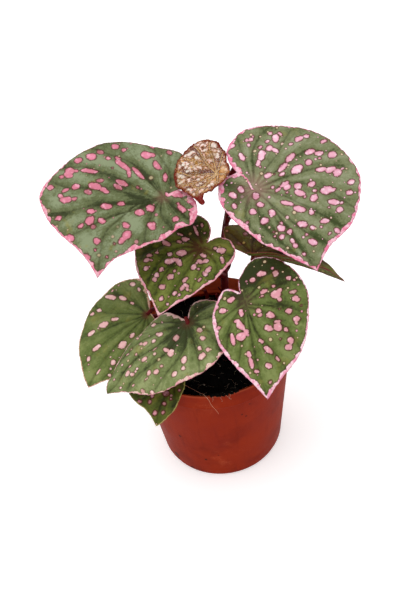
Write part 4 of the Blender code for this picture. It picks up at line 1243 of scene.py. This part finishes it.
youngLeaf = {
    "foot": (19.5, 52, 212), "heading": -125, "droop": 14, "roll": -10, "arch": (46, 52), "bend": (29, 11),
    "right": (
        (0, 26), (12, 22), (21.5, 19.5), (31, 3), (31.5, -10.5), (25.5, -23), (12, -25), (2, -17.5),
        (-1.5, -12),
    ),
    "left": (
        (0, 26), (-2.6, 25.2), (-2.4, 23.4), (-0.4, 22.2), (0.6, 19), (-3, 13), (-5.5, 6.5), (-6.7, -0.5),
        (-6.2, -7), (-1.5, -12),
    ),
    "root": ("top",), "via": ((17.2, 50, 143), (20.5, 56.5, 158), (24.4, 58, 178), (23, 57.5, 196)),
    "grid": 0.5, "blister": 1.3, "blisterSize": 2.2, "hairLength": 1.6, "finish": youngMaterial, "teeth": 0.8,
    "flutter": (0.5, 6), "pleat": 1.2, "quilt": 0.7, "wrinkle": 0.7, "sideVeins": (4, 5),
    "lightAndShadePatches": (
        (27, -14, 7, 9, 0, -1.0), (13, 5, 22, 7, 25, -1.5), (6, 1, 18, 5, 15, -1.0),
        (20, -10, 24, 3, -35, -0.9), (11, -3, 18, 3, -15, -0.8), (9, -12, 14, 4, -55, -0.9),
        (6, 14, 6, 10, 0, -0.6), (18, 9, 7, 6, 0, -0.6), (4, -14, 4, 20, 10, -0.8), (20, 0, 18, 8, 0, 0.3),
        (12, 17, 20, 6, -10, 0.3), (18, -18, 12, 8, -30, 0.2),
    ),
    "pinkRight": (0.6, 0.4, 0.3, 0.3), "pinkLeft": (0.6, 0.5, 0.5),
    "veins": (
        ((0, 0), (5, 2), (12, 6), (17, 8), (23, 8), (30, 8)), ((0, 0), (3, 5), (3, 12), (7, 16), (10, 15)),
        ((0, 0), (2, -8), (4, -16), (5, -21)), ((0, 0), (8, -10), (15, -18), (18, -24)),
        ((0, 0), (12, -6), (22, -14), (28, -17)), ((0, 0), (12, -4), (20, -4), (31, -5)),
        ((0, 0), (3, 10), (6, 18), (1, 25)), ((0, 0), (-3, 5), (-4, 9), (-3, 13)),
        ((0, 0), (8, 10), (14, 15), (19, 20)), ((0, 0), (-5, -2), (-8, -4)),
    ),
    "spots": (
        (14, 11, 5, 4, 20), (7, 12, 6, 5, 50), (14, 1, 6, 4, -10), (20, -8, 8, 4, -35), (13, -18, 5, 6),
        (20, 15, 5, 4), (25, 2, 5, 4), (16, -11, 7, 3, -40), (27, -4, 4, 5), (8, -14, 3, 7),
        (21, -19, 5, 4, -30), (21, 3, 4, 3), (9, 19, 4, 3), (0, 11, 2, 4), (26, 9, 4, 3), (7, -21, 4, 3),
        (12, -7, 5, 2.5, -40), (25, -13, 3, 5, 20),
    ),
    "look": {
        "swell": (250, 198, 122), "green": (220, 148, 68), "valley": (112, 48, 4), "spot": (255, 196, 190),
        "dusky": (255, 180, 170), "heart": (255, 244, 232), "creaseColour": (108, 48, 6),
        "rim": (140, 60, 34), "fringe": (112, 34, 30), "stain": 0.4, "stainColour": (190, 140, 44),
        "flush": (126, 14, 24), "quiltLine": 0.3, "mottle": 1.0, "streak": 1.4, "blisterScale": 0.36,
        "tip": (0, 24), "gloss": 0.06, "roughness": 0.4, "bump": 0.6,
        "grains": ((0.14, 4, 0.6), (0.5, 2, 0.5), (1.3, 3, 0.65), (2.8, 2, 0.6)),
    },
}
makeLeaf("young", youngLeaf, 3)

centreLeaf = {
    "foot": (1.7, 23.2, 172), "heading": -132, "droop": 14, "roll": -6, "arch": (23, 29), "bend": (34, 11),
    "right": (
        (0, 57), (13, 47.5), (27.5, 39.5), (39.5, 28.5), (47.5, 15), (45, -1), (36.5, -14), (22, -22.5),
        (6, -19.5), (-1.5, -6),
    ),
    "left": (
        (0, 57), (-7.5, 44.5), (-15, 32), (-21, 19), (-24.5, 5), (-22.5, -10), (-10.5, -15.5), (-1.5, -6),
    ),
    "root": ("stem", 128, -125), "via": ((9, 35.5, 142), (4, 29.5, 158)), "patchy": 1.1, "pleat": 0.9,
    "sideVeins": (7, 7),
    "lightAndShadePatches": (
        (-12, 30, 14, 50, 15, 0.5), (2, 48, 16, 20, 0, 0.5), (-14, 8, 16, 14, 0, 0.3),
        (6, 36, 14, 16, 0, 0.2), (16, -10, 44, 24, 0, -0.8), (24, 14, 20, 20, 0, -0.4),
        (36, 20, 12, 24, 0, -0.6), (0, 2, 14, 14, 0, -0.5), (20, 32, 8, 22, 0, -0.3), (8, 20, 6, 16, 0, -0.2),
    ),
    "pinkRight": (1.1, 1.1, 1.1, 0.8, 0.6, 0.5, 0.5, 0.5, 0.5, 0.5),
    "pinkLeft": (1.1, 1.3, 1.4, 1.3, 1.2, 1, 0.6, 0.6),
    "veins": (
        ((0, 0), (-1, 15), (-1, 30), (0, 45), (0, 57)), ((1, 2), (8, 12), (11, 22), (12, 32), (10, 45)),
        ((2, 1), (15, 8), (20, 18), (21, 30), (20, 40)), ((3, 0), (22, 5), (30, 15), (38, 24)),
        ((3, -1), (20, -4), (35, -6), (44, -6)), ((2, -4), (10, -10), (18, -18)),
        ((-1, 2), (-8, 10), (-10, 20), (-12, 30), (-13, 37)), ((-2, 1), (-12, 3), (-19, 8), (-21, 17)),
        ((-2, -1), (-12, -3), (-22, -6)),
    ),
    "spots": (
        (-2, 46.8, 2, 2), (3.8, 45.5, 4, 3, 90), (-3, 38, 4.5, 3, 70), (-6.2, 37.5, 2, 2), (8, 38, 5.5, 4.5),
        (-5.5, 32.2, 5, 3.5, 75), (-7, 29.5, 5, 3), (-9, 31.5, 3, 2.5), (-4.2, 26, 5.5, 3, 75),
        (6.7, 29, 5, 4.5), (6.5, 24, 3, 3), (16.2, 35.8, 4, 3), (16.3, 32.2, 4, 3.5), (16, 27.3, 3.5, 3.5),
        (26.7, 31.2, 4, 3.5), (30.5, 25.5, 5, 4, 20), (27.5, 24.2, 3, 2), (30.7, 21.5, 5, 3, 20),
        (-13.3, 21.5, 4, 2.5, 90), (14.2, 19.5, 6.5, 4.5, 35), (7.5, 17, 8, 4, -25), (11.5, 16.5, 4, 3),
        (26.5, 17.2, 3.5, 2.5), (17, 14.3, 4.5, 3), (-14, 16, 4, 3), (-14.2, 12.3, 6, 3.5, 80),
        (-4.2, 15.3, 5.5, 3.5, 80), (-8, 15, 2, 2), (-5.5, 9.5, 5, 4), (-8.8, 7.5, 5, 3.5, 30),
        (-5, 4.5, 5, 3), (10, 10, 8, 5, 35), (24.8, 8, 8, 4), (17, 2.7, 5, 3), (14.3, -1, 6, 4, 20),
        (20, -3, 5, 2), (-18.5, 0.7, 5, 3, -40), (-20, 2.7, 2, 2), (-14, -5.2, 6.5, 4, 30),
        (-9, -4.5, 3, 2.5), (11.5, -10.5, 10, 2.5, -35), (10.2, -16.5, 4, 2.5, -45), (5, -12, 1.5, 1.5),
    ),
    "look": {
        "swell": (122, 130, 62), "green": (90, 100, 38), "valley": (48, 56, 16), "spot": (232, 170, 176),
        "dusky": (174, 118, 120), "heart": (240, 194, 204), "haloColour": (52, 16, 14),
        "rim": (232, 146, 166), "rimPale": (236, 186, 188), "flush": (92, 40, 28), "flushReach": 19.0,
        "dots": 0.7, "dotColour": (176, 150, 100),
    },
}
makeLeaf("centre", centreLeaf, 4)

frontRight = {
    "foot": (26.2, -23.9, 161), "heading": -88, "droop": 20, "roll": 16, "arch": (46, 26), "bend": (29, 23),
    "right": (
        (0, 68.5), (7.5, 55.5), (15.5, 42.5), (22.5, 29.5), (25.5, 14.5), (23.5, 0), (11.5, -12.5), (2, -6.5),
    ),
    "left": (
        (0, 68.5), (-12.5, 57.5), (-25.5, 47.5), (-35, 34), (-40, 18.5), (-42, 2), (-36.5, -14), (-26, -26),
        (-10.5, -29.5), (1, -17.5), (2, -6.5),
    ),
    "root": ("soil", 9, 4), "via": ((10.5, 2.5, 113), (16, -7, 134), (22, -17, 149)), "patchy": 0.7,
    "pleat": 0.8,
    "lightAndShadePatches": (
        (-16, -18, 60, 26, 0, -1.8), (2, -6, 12, 20, 0, -0.6), (-20, 6, 34, 26, 0, -0.25),
        (-2, 30, 6, 60, 0, -0.2), (-2, 56, 20, 20, 0, 0.4), (-22, 44, 24, 14, 40, 0.35),
        (14, 10, 18, 40, 0, 0.1), (12, 42, 8, 24, -20, 0.3), (-10, 28, 30, 6, -55, 0.2),
        (-30, 26, 10, 24, 0, 0.2), (20, -6, 12, 12, 0, -0.4),
    ),
    "pinkRight": (1.4, 2.2, 2.4, 2.2, 2.2, 1.6, 1.2, 1.2),
    "pinkLeft": (1.8, 1.8, 1.5, 0.8, 0.6, 0.4, 0.3, 0.3, 0.3, 0.3, 0.5),
    "veins": (
        ((0, 0), (0.5, 20), (1, 35), (1, 50), (0, 65)),
        ((0, 0), (-1, 10), (-5, 28), (-10, 37), (-14, 45), (-17, 52)),
        ((-1, 5), (-12, 12), (-19, 20), (-24, 28), (-27, 36), (-29, 42)),
        ((-2, 3), (-15, 8), (-28, 12), (-36, 18)), ((-2, 1), (-15, -4), (-28, -6), (-38, -8)),
        ((-2, -2), (-10, -8), (-20, -18), (-27, -24)), ((1, 5), (8, 28), (13, 40)),
        ((1, 4), (12, 12), (18, 25), (20, 33)), ((2, 1), (14, 6), (23, 10)), ((2, -2), (10, -8)),
    ),
    "spots": (
        (-4.6, 58.3, 3, 3), (-6.2, 47.6, 5, 4, -20), (-12.9, 44.8, 4, 3, -60), (-8.4, 37.6, 7.5, 4, -55),
        (-4.8, 30.1, 4, 2.5, -50), (-21.7, 39, 5, 4.5), (-24, 35, 4.5, 5), (-22.8, 27, 4, 3, -60),
        (-17.9, 24, 6, 6.5), (-18.7, 20.3, 5, 2.5), (-11.8, 23.4, 6.5, 4.5, -35), (-30.6, 24.8, 3, 2.5),
        (-31.2, 21.8, 5, 4.5), (-15, 14.8, 6.5, 5, -35), (-8.1, 13.1, 4, 3), (-7.6, 9.6, 4.5, 4, -40),
        (-27.2, 15, 5, 4.5, -45), (-33.9, 7.8, 6, 4.5, -35), (-32.8, 2.3, 6, 3, 0, 0.2),
        (-23.1, 5.3, 3.5, 3.5), (-21.4, 1.4, 7.5, 6.5), (-24.2, -0.8, 4, 4), (-12.2, 0, 3, 2),
        (-13.7, -3, 6, 3.5, 25), (-20.7, -5.4, 3, 2.5), (-35.3, -6.3, 2.5, 2.5), (-31.8, -8.6, 4, 3),
        (-23.9, -14.4, 4.5, 5.5, 0, 0.2), (-14.4, -16.6, 7, 4.5), (-7.8, -13.6, 4.5, 4.5),
        (2.8, 49.2, 3.5, 3, 0, 1), (4.7, 42.9, 8, 3.5, 90, 1), (5, 37, 5, 3.5, 90, 1),
        (7.4, 23.7, 8, 6, 0, 1), (3.6, 22, 4, 5, 0, 1), (13.6, 24.2, 9, 4, 90, 1), (6.3, 16.4, 8, 5, -65, 1),
        (8.2, 12.6, 5, 3, 0, 1), (4.1, 7.6, 4, 6, 0, 1), (16.6, 2, 6, 4.5, -30, 1), (9.4, -3.9, 6, 5, 0, 1),
        (21, -2.4, 4, 5, 0, 1), (21.9, 13.1, 4, 3, 0, 1), (24.1, 8.7, 8, 3, 90, 1), (17.4, -8.6, 5, 3, 0, 1),
        (-22, 12, 1.6, 1.6), (-36.2, 13.1, 1.6, 1.6), (-17.8, 32.3, 1.6, 1.6),
    ),
    "look": {
        "swell": (126, 136, 80), "green": (94, 107, 52), "valley": (46, 52, 16), "spot": (230, 152, 172),
        "dusky": (206, 148, 148), "heart": (244, 200, 204), "haloColour": (74, 32, 24),
        "rim": (236, 152, 180), "rimPale": (250, 210, 220), "flush": (88, 66, 50), "shrink": 0.4,
    },
}
makeLeaf("front_right", frontRight, 5)

lowerLeft = {
    "foot": (-42.8, 14, 124), "heading": -137, "droop": 10, "roll": -2, "arch": (23, 23), "bend": (23, 17),
    "right": (
        (0, 68.5), (14.5, 60), (27, 49.5), (36.5, 36), (42.5, 21), (44.5, 5), (41, -11.5), (30, -22),
        (14.5, -15), (0, -2),
    ),
    "left": (
        (0, 68.5), (-8, 58.5), (-16.5, 49), (-22.5, 37.5), (-24, 24.5), (-21, 11.5), (-11.5, 3), (0, -2),
    ),
    "root": ("soil", -8, 9), "via": ((-13, 9.5, 107), (-26, 11.5, 114), (-37, 13.5, 121.5)), "patchy": 0.9,
    "teeth": 0.4, "pleat": 0.6,
    "lightAndShadePatches": (
        (25, 30, 8, 40, -10, 0.5), (4, 60, 20, 20, 0, 0.6), (24, -1, 48, 4, -3, -0.8),
        (30, -9, 34, 12, -15, 0.2), (-16, 30, 14, 40, 0, -0.2), (0, 3, 12, 10, 0, -0.4),
        (14, 44, 10, 20, 0, 0.3), (30, 10, 20, 8, 0, -0.2),
    ),
    "pinkRight": (0.5, 0.5, 0.4, 0.4, 0.4, 0.6, 0.9, 1.2, 1.4, 1),
    "pinkLeft": (0.5, 0.4, 0.4, 0.4, 0.4, 0.4, 0.6, 0.8),
    "veins": (
        ((0, 0), (3, 0), (10, -2), (20, -4), (27, -5), (32, -2), (42, 2)),
        ((0, 0), (3, 2), (18, 10), (30, 16), (42, 15)), ((0, 0), (2, 4), (15, 20), (25, 35), (33, 42)),
        ((0, 0), (1, 20), (3, 40), (0, 68)), ((1, 5), (10, 28), (14, 45), (16, 58)),
        ((-1, 3), (-8, 20), (-8, 40), (-6, 58)), ((-2, 3), (-16, 18), (-21, 28)),
        ((3, -3), (12, -10), (22, -16)),
    ),
    "spots": (
        (0.6, 55.3, 5, 2.5, 90), (14.7, 51.7, 4.5, 3.5, -50), (11.3, 55, 2, 2), (-4.4, 44.2, 5, 4, -40),
        (14.7, 42, 7.5, 4, 70), (1.7, 36.8, 1.5, 1.5), (27.4, 34.8, 7, 4, 80), (-1.4, 30, 6, 7),
        (23.3, 29.2, 1.5, 1.5), (23.2, 24.6, 8, 5.5, 50), (38.6, 22, 3.5, 4), (36.1, 16.7, 4.5, 4),
        (18.6, 16.8, 6.5, 3.5, 35), (-2.6, 20.3, 5, 3.5, 90), (36.9, 2.9, 11, 5, 10), (27.2, -0.8, 8, 4),
        (17.4, -1.1, 4.5, 2.5), (21.3, -13, 5, 2.5, -35), (30.2, -15, 6.5, 4.5, -15), (40.2, -2.4, 3, 2, 90),
        (39.1, -8.6, 3, 2, 90), (-8.7, 53.1, 3, 2.5),
    ),
    "look": {
        "swell": (128, 138, 80), "green": (96, 110, 54), "valley": (58, 68, 28), "spot": (250, 202, 202),
        "dusky": (222, 164, 160), "shrink": 0.35, "halo": 0.55, "heart": (255, 226, 222),
        "rim": (214, 152, 142), "rimPale": (214, 186, 150), "rimHalo": 0.3, "flush": (122, 40, 34),
        "flushReach": 7.0, "crease": 0.2, "dotShare": 0.14,
    },
}
makeLeaf("lower_left", lowerLeft, 6)

frontLeft = {
    "foot": (-14.1, -16.9, 140.5), "heading": -157, "droop": 13, "roll": 5, "arch": (57, 57),
    "bend": (29, 17),
    "right": (
        (0, 75), (9, 67.5), (13.5, 56.5), (20.5, 45.5), (22.5, 33), (24.5, 22), (25, 7.5), (14, 3.4),
        (2.6, -1),
    ),
    "left": (
        (0, 75), (-12.5, 63), (-26.5, 52), (-35, 35.5), (-39, 18.5), (-39, 0.5), (-32.5, -15), (-16, -23.5),
        (1.5, -26.5), (14.5, -16), (2.6, -1),
    ),
    "root": ("soil", 2, 1), "via": ((-0.5, -3, 112), (-7, -10, 126)), "patchy": 1.8, "teeth": 0.4,
    "pleat": 1.2,
    "lightAndShadePatches": (
        (12, 24, 24, 44, -10, 0.2), (-26, 42, 14, 40, -20, 0.4), (-36, 10, 8, 30, 0, 0.5),
        (-8, 14, 16, 30, 20, -0.3), (6, -12, 30, 24, 0, -0.5), (0, 0, 16, 12, 0, -0.6),
        (-16, 4, 20, 12, 0, -0.2), (3, 50, 3, 34, 5, -0.5), (-4, 8, 36, 34, 0, -0.9), (0, 66, 16, 18, 0, 0.3),
        (-20, 26, 20, 6, -50, 0.2), (4, 8, 14, 16, -40, -0.4),
    ),
    "pinkRight": (0.5, 0.4, 0.4, 0.4, 0.4, 0.5, 1.2, 1.8, 0.5),
    "pinkLeft": (0.3, 0.4, 0.6, 0.8, 1.2, 1.3, 0.8, 0.6, 0.7, 1.2, 0.4),
    "veins": (
        ((0, 0), (-1, 15), (1, 35), (4, 47), (3, 53), (0, 62), (0, 75)),
        ((-1, 3), (-8, 15), (-11, 28), (-10, 40), (-9, 50), (-11, 60)),
        ((-2, 3), (-12, 8), (-20, 18), (-23, 30), (-27, 45)), ((-3, 1), (-14, 4), (-27, 8), (-38, 14)),
        ((-3, -2), (-12, -7), (-25, -8), (-38, -6)), ((-2, -4), (-6, -14), (-8, -22)),
        ((1, 3), (8, 16), (13, 28), (15, 42), (13, 55), (10, 66)), ((2, 3), (12, 10), (20, 18), (25, 22)),
        ((1, -3), (5, -12), (4, -24)),
    ),
    "spots": (
        (-2, 54.2, 5, 4, -60), (-5.9, 52, 3.5, 3), (1.9, 50.3, 3, 3.5), (-13.3, 55.9, 2.5, 2.5),
        (-14.8, 42, 5, 3.5, -30), (-18.1, 37.6, 4.5, 4.5), (-3.1, 38.9, 4.5, 5), (-17.6, 32.2, 3, 3),
        (-17.3, 45.9, 3.5, 1.5, 90), (-5.3, 47, 2, 2), (-28.9, 28.7, 4, 4.5), (-29.8, 21.4, 3.5, 3, -40),
        (-24.8, 17.6, 6, 4.5, -40), (-13.7, 22, 7, 5.5), (-9.2, 23.1, 6, 3, 30), (-5.9, 12.9, 5, 5, 0, 0.2),
        (-30.3, 6.1, 6.5, 4.5, 90), (-24.6, 4.2, 4, 3), (-29.2, 0.3, 3.5, 3.5), (-19.4, -1.6, 4.5, 4),
        (-12.2, -3, 5, 4, 0, 0.2), (-1.8, 29.2, 4, 2, 90, 0.2), (8.6, 32.3, 5, 4, 45), (11.6, 34.8, 4, 3),
        (5, 26.4, 3.5, 3), (7.4, 20.6, 8, 4, 25), (6.7, 41.7, 3, 2.5), (13.6, 47, 3, 3),
        (15.2, 43.1, 3, 1.5, 90), (19.1, 34.8, 3, 2), (20.8, 31.4, 3, 2, 90), (20.2, 19.8, 5, 4),
        (17.2, 14.2, 3, 1.5), (8.3, 54.2, 2, 2), (3.5, 64.8, 2, 2), (-6.4, 64.2, 2, 2),
        (-38.1, 23.7, 4.5, 5, 0, 1), (-27.9, 48.7, 4, 3), (-22.6, 53.1, 4, 3, 0, 0.3),
    ),
    "look": {
        "swell": (146, 154, 104), "green": (108, 120, 70), "valley": (58, 66, 34), "spot": (246, 196, 196),
        "dusky": (206, 150, 146), "shrink": 0.35, "halo": 0.55, "heart": (252, 220, 216),
        "rim": (226, 152, 162), "rimPale": (232, 198, 184), "flushReach": 8.0, "rimHalo": 0.3,
        "flush": (94, 46, 32), "stain": 0.4, "dotShare": 0.34,
    },
}
makeLeaf("front_left", frontLeft, 7)

rimLeaf = {
    "foot": (-30.1, -44.8, 116.5), "heading": -120, "droop": 12, "roll": 0, "arch": (23, 29),
    "bend": (103, 6),
    "right": (
        (0, 34.5), (9, 26.5), (20, 22.5), (29.5, 14.5), (29, 3), (22.5, -7), (11.5, -10.5), (1.5, -3.5),
    ),
    "left": ((0, 34.5), (-6, 27.5), (-10, 19), (-11, 9.5), (-10, 0.5), (-4.5, -7.5), (1.5, -3.5)),
    "root": ("soil", -7, -6), "via": ((-10.5, -14, 104.5), (-18, -27, 106.5), (-26.5, -40, 109)),
    "teeth": 0.3, "flutter": (0.4, 4), "pleat": 0.9, "wrinkle": 0.3, "sideVeins": (6, 6),
    "lightAndShadePatches": (
        (0, 30, 14, 12, 0, 0.4), (18, 12, 14, 12, 0, -0.2), (0, 4, 16, 10, 0, -0.3), (-6, 16, 6, 16, 0, 0.2),
    ),
    "pinkRight": (0.4, 0.3, 0.3), "pinkLeft": (0.4, 0.3, 0.2),
    "veins": (
        ((0, 0), (0, 12), (1, 24), (0, 34)), ((0, 0), (8, 10), (14, 18), (18, 23)),
        ((0, 0), (12, 4), (22, 6), (29, 8)), ((0, 0), (10, -4), (18, -8)), ((0, 0), (-5, 8), (-8, 18)),
        ((0, 0), (-6, 1), (-11, 5)),
    ),
    "spots": (
        (3, 26, 4, 3, 90), (-2.9, 24.3, 2.5, 2.5), (-1.5, 18.3, 3, 2.5), (9.1, 19.9, 3, 3),
        (16.7, 21.6, 3, 2.5), (-0.2, 11.3, 5, 4, 0, 0.1), (8.4, 15.6, 3, 2.5), (-8.4, 6.3, 2.5, 2),
        (-5, 14.1, 1.5, 1.5),
    ),
    "look": {
        "swell": (100, 106, 42), "green": (74, 82, 28), "valley": (42, 46, 12), "spot": (222, 150, 160),
        "dusky": (156, 98, 96), "rim": (164, 132, 88), "rimPale": (150, 146, 78), "rimHalo": 0.1,
        "fringe": (132, 120, 70), "dotShare": 0.35,
    },
}
makeLeaf("rim", rimLeaf, 8)

behindRight = {
    "foot": (37, 15.2, 165.5), "heading": -8, "droop": 12, "roll": 0, "lift": (58, 5), "arch": (23, 23),
    "bend": (34, 17), "right": ((0, 70), (5, 60), (11, 46), (15, 32), (15, 17), (10, 3), (4, -5), (0, -2)),
    "left": (
        (0, 70), (-9, 56.5), (-16.5, 41.5), (-23, 26), (-29, 10), (-31.5, -8), (-27, -20), (-11, -19),
        (0, -2),
    ),
    "root": ("soil", 30, 28), "via": ((36, 32, 115), (41, 34, 136), (41.5, 33, 150), (40.5, 26, 161)),
    "teeth": 0.3, "flutter": (0.5, 5), "pleat": 1.1, "quilt": 0.3, "sideVeins": (7, 7),
    "lightAndShadePatches": (
        (-14, 0, 30, 20, 0, 0.2), (-4, 20, 8, 60, 0, -0.4), (-2, 60, 12, 24, 0, 0.9), (6, 52, 12, 30, 0, 0.8),
    ),
    "pinkRight": (0.5, 0.5), "pinkLeft": (0.5, 0.5),
    "veins": (
        ((0, 0), (0, 25), (0, 50), (0, 70)), ((0, 0), (6, 20), (9, 38), (8, 52)),
        ((0, 0), (10, 10), (14, 24)), ((0, 0), (-6, 20), (-10, 38), (-10, 52)),
        ((0, 0), (-14, 12), (-20, 28)), ((0, 0), (-16, 0), (-26, 4)), ((0, 0), (-10, -8), (-20, -16)),
    ),
    "spots": (
        (-16, 8, 4, 3, 0, 0.2), (-12, 20, 4, 3, 20, 0.1), (-20, -6, 4, 3, 0, 0.1), (-8, 30, 3, 2.5, 0, 0.1),
        (-10, -10, 4, 3, 0, 0.1), (-14, 32, 3, 2, 0, 0.2), (-7, 44, 2, 2), (-3, 56, 1.6, 1.6),
        (3, 50, 1.6, 1.6),
    ),
    "look": {
        "swell": (104, 108, 40), "green": (84, 68, 26), "valley": (54, 38, 14), "spot": (170, 120, 92),
        "dusky": (120, 84, 52), "rim": (120, 60, 48), "rimPale": (140, 96, 60), "rimHalo": 0.1,
        "flush": (84, 34, 26), "dotColour": (206, 180, 96),
    },
    "under": {
        "flesh": (74, 66, 26), "green": (92, 104, 40), "net": (88, 52, 34), "vein": (104, 40, 34),
        "spot": (176, 150, 84), "rim": (120, 60, 48),
    },
}
makeLeaf("behind_right", behindRight, 9)
print("leaves grown")

# floor, light and camera

studio = {
    "floor": (252, 252, 252), "floorHalf": 8000.0, "floorDrop": 0.2, "floorGlow": 0.35, "air": 0.88,
    # the lamp and the camera, in metres
    "keyPower": 7.5, "keySize": 1.8, "keyPlace": (-0.55, 0.15, 1.5), "keyAim": (0, 0, 0.12), "lens": 57.74,
    "eye": (0.0, -0.48626, 0.61354), "side": (0.99095, -0.08947, -0.10011),
    "upward": (0.13417, 0.68888, 0.71235),
}
half, drop = studio["floorHalf"], studio["floorDrop"]
floorMesh = newMesh("floor", [(-half, -half, -drop), (half, -half, -drop), (half, half, -drop),
                              (-half, half, -drop)],
                    [(0, 1, 2, 3)])
floorMaterial = newMaterial("pale_floor", 0.9, 0.1, studio["floor"])
floorShader = floorMaterial.node_tree.nodes["Principled BSDF"]
floorShader.inputs["Emission Color"].default_value = (1, 1, 1, 1)
floorShader.inputs["Emission Strength"].default_value = studio["floorGlow"]
addPiece("floor", floorMesh, [floorMaterial])

world = bpy.data.worlds.new("studio")
world.use_nodes = True
world.node_tree.nodes["Background"].inputs["Color"].default_value = (1, 1, 1, 1)
world.node_tree.nodes["Background"].inputs["Strength"].default_value = studio["air"]
bpy.context.scene.world = world

lamp = bpy.data.lights.new("softbox", "AREA")
lamp.shape = "DISK"
lamp.size = studio["keySize"]
lamp.energy = studio["keyPower"]
softbox = addPiece("softbox", lamp)
softbox.location = studio["keyPlace"]
softbox.rotation_euler = (Vector(studio["keyAim"]) - softbox.location).to_track_quat("-Z", "Y").to_euler()

lens = bpy.data.cameras.new("camera")
lens.lens = studio["lens"]
lens.sensor_width = 36
lens.clip_start = 0.01
camera = addPiece("camera", lens)
side, upward = Vector(studio["side"]), Vector(studio["upward"])
turned = Matrix((side, upward, side.cross(upward))).transposed().to_4x4()
camera.matrix_world = Matrix.Translation(studio["eye"]) @ turned
bpy.context.scene.camera = camera
bpy.context.scene.view_settings.view_transform = "Standard"
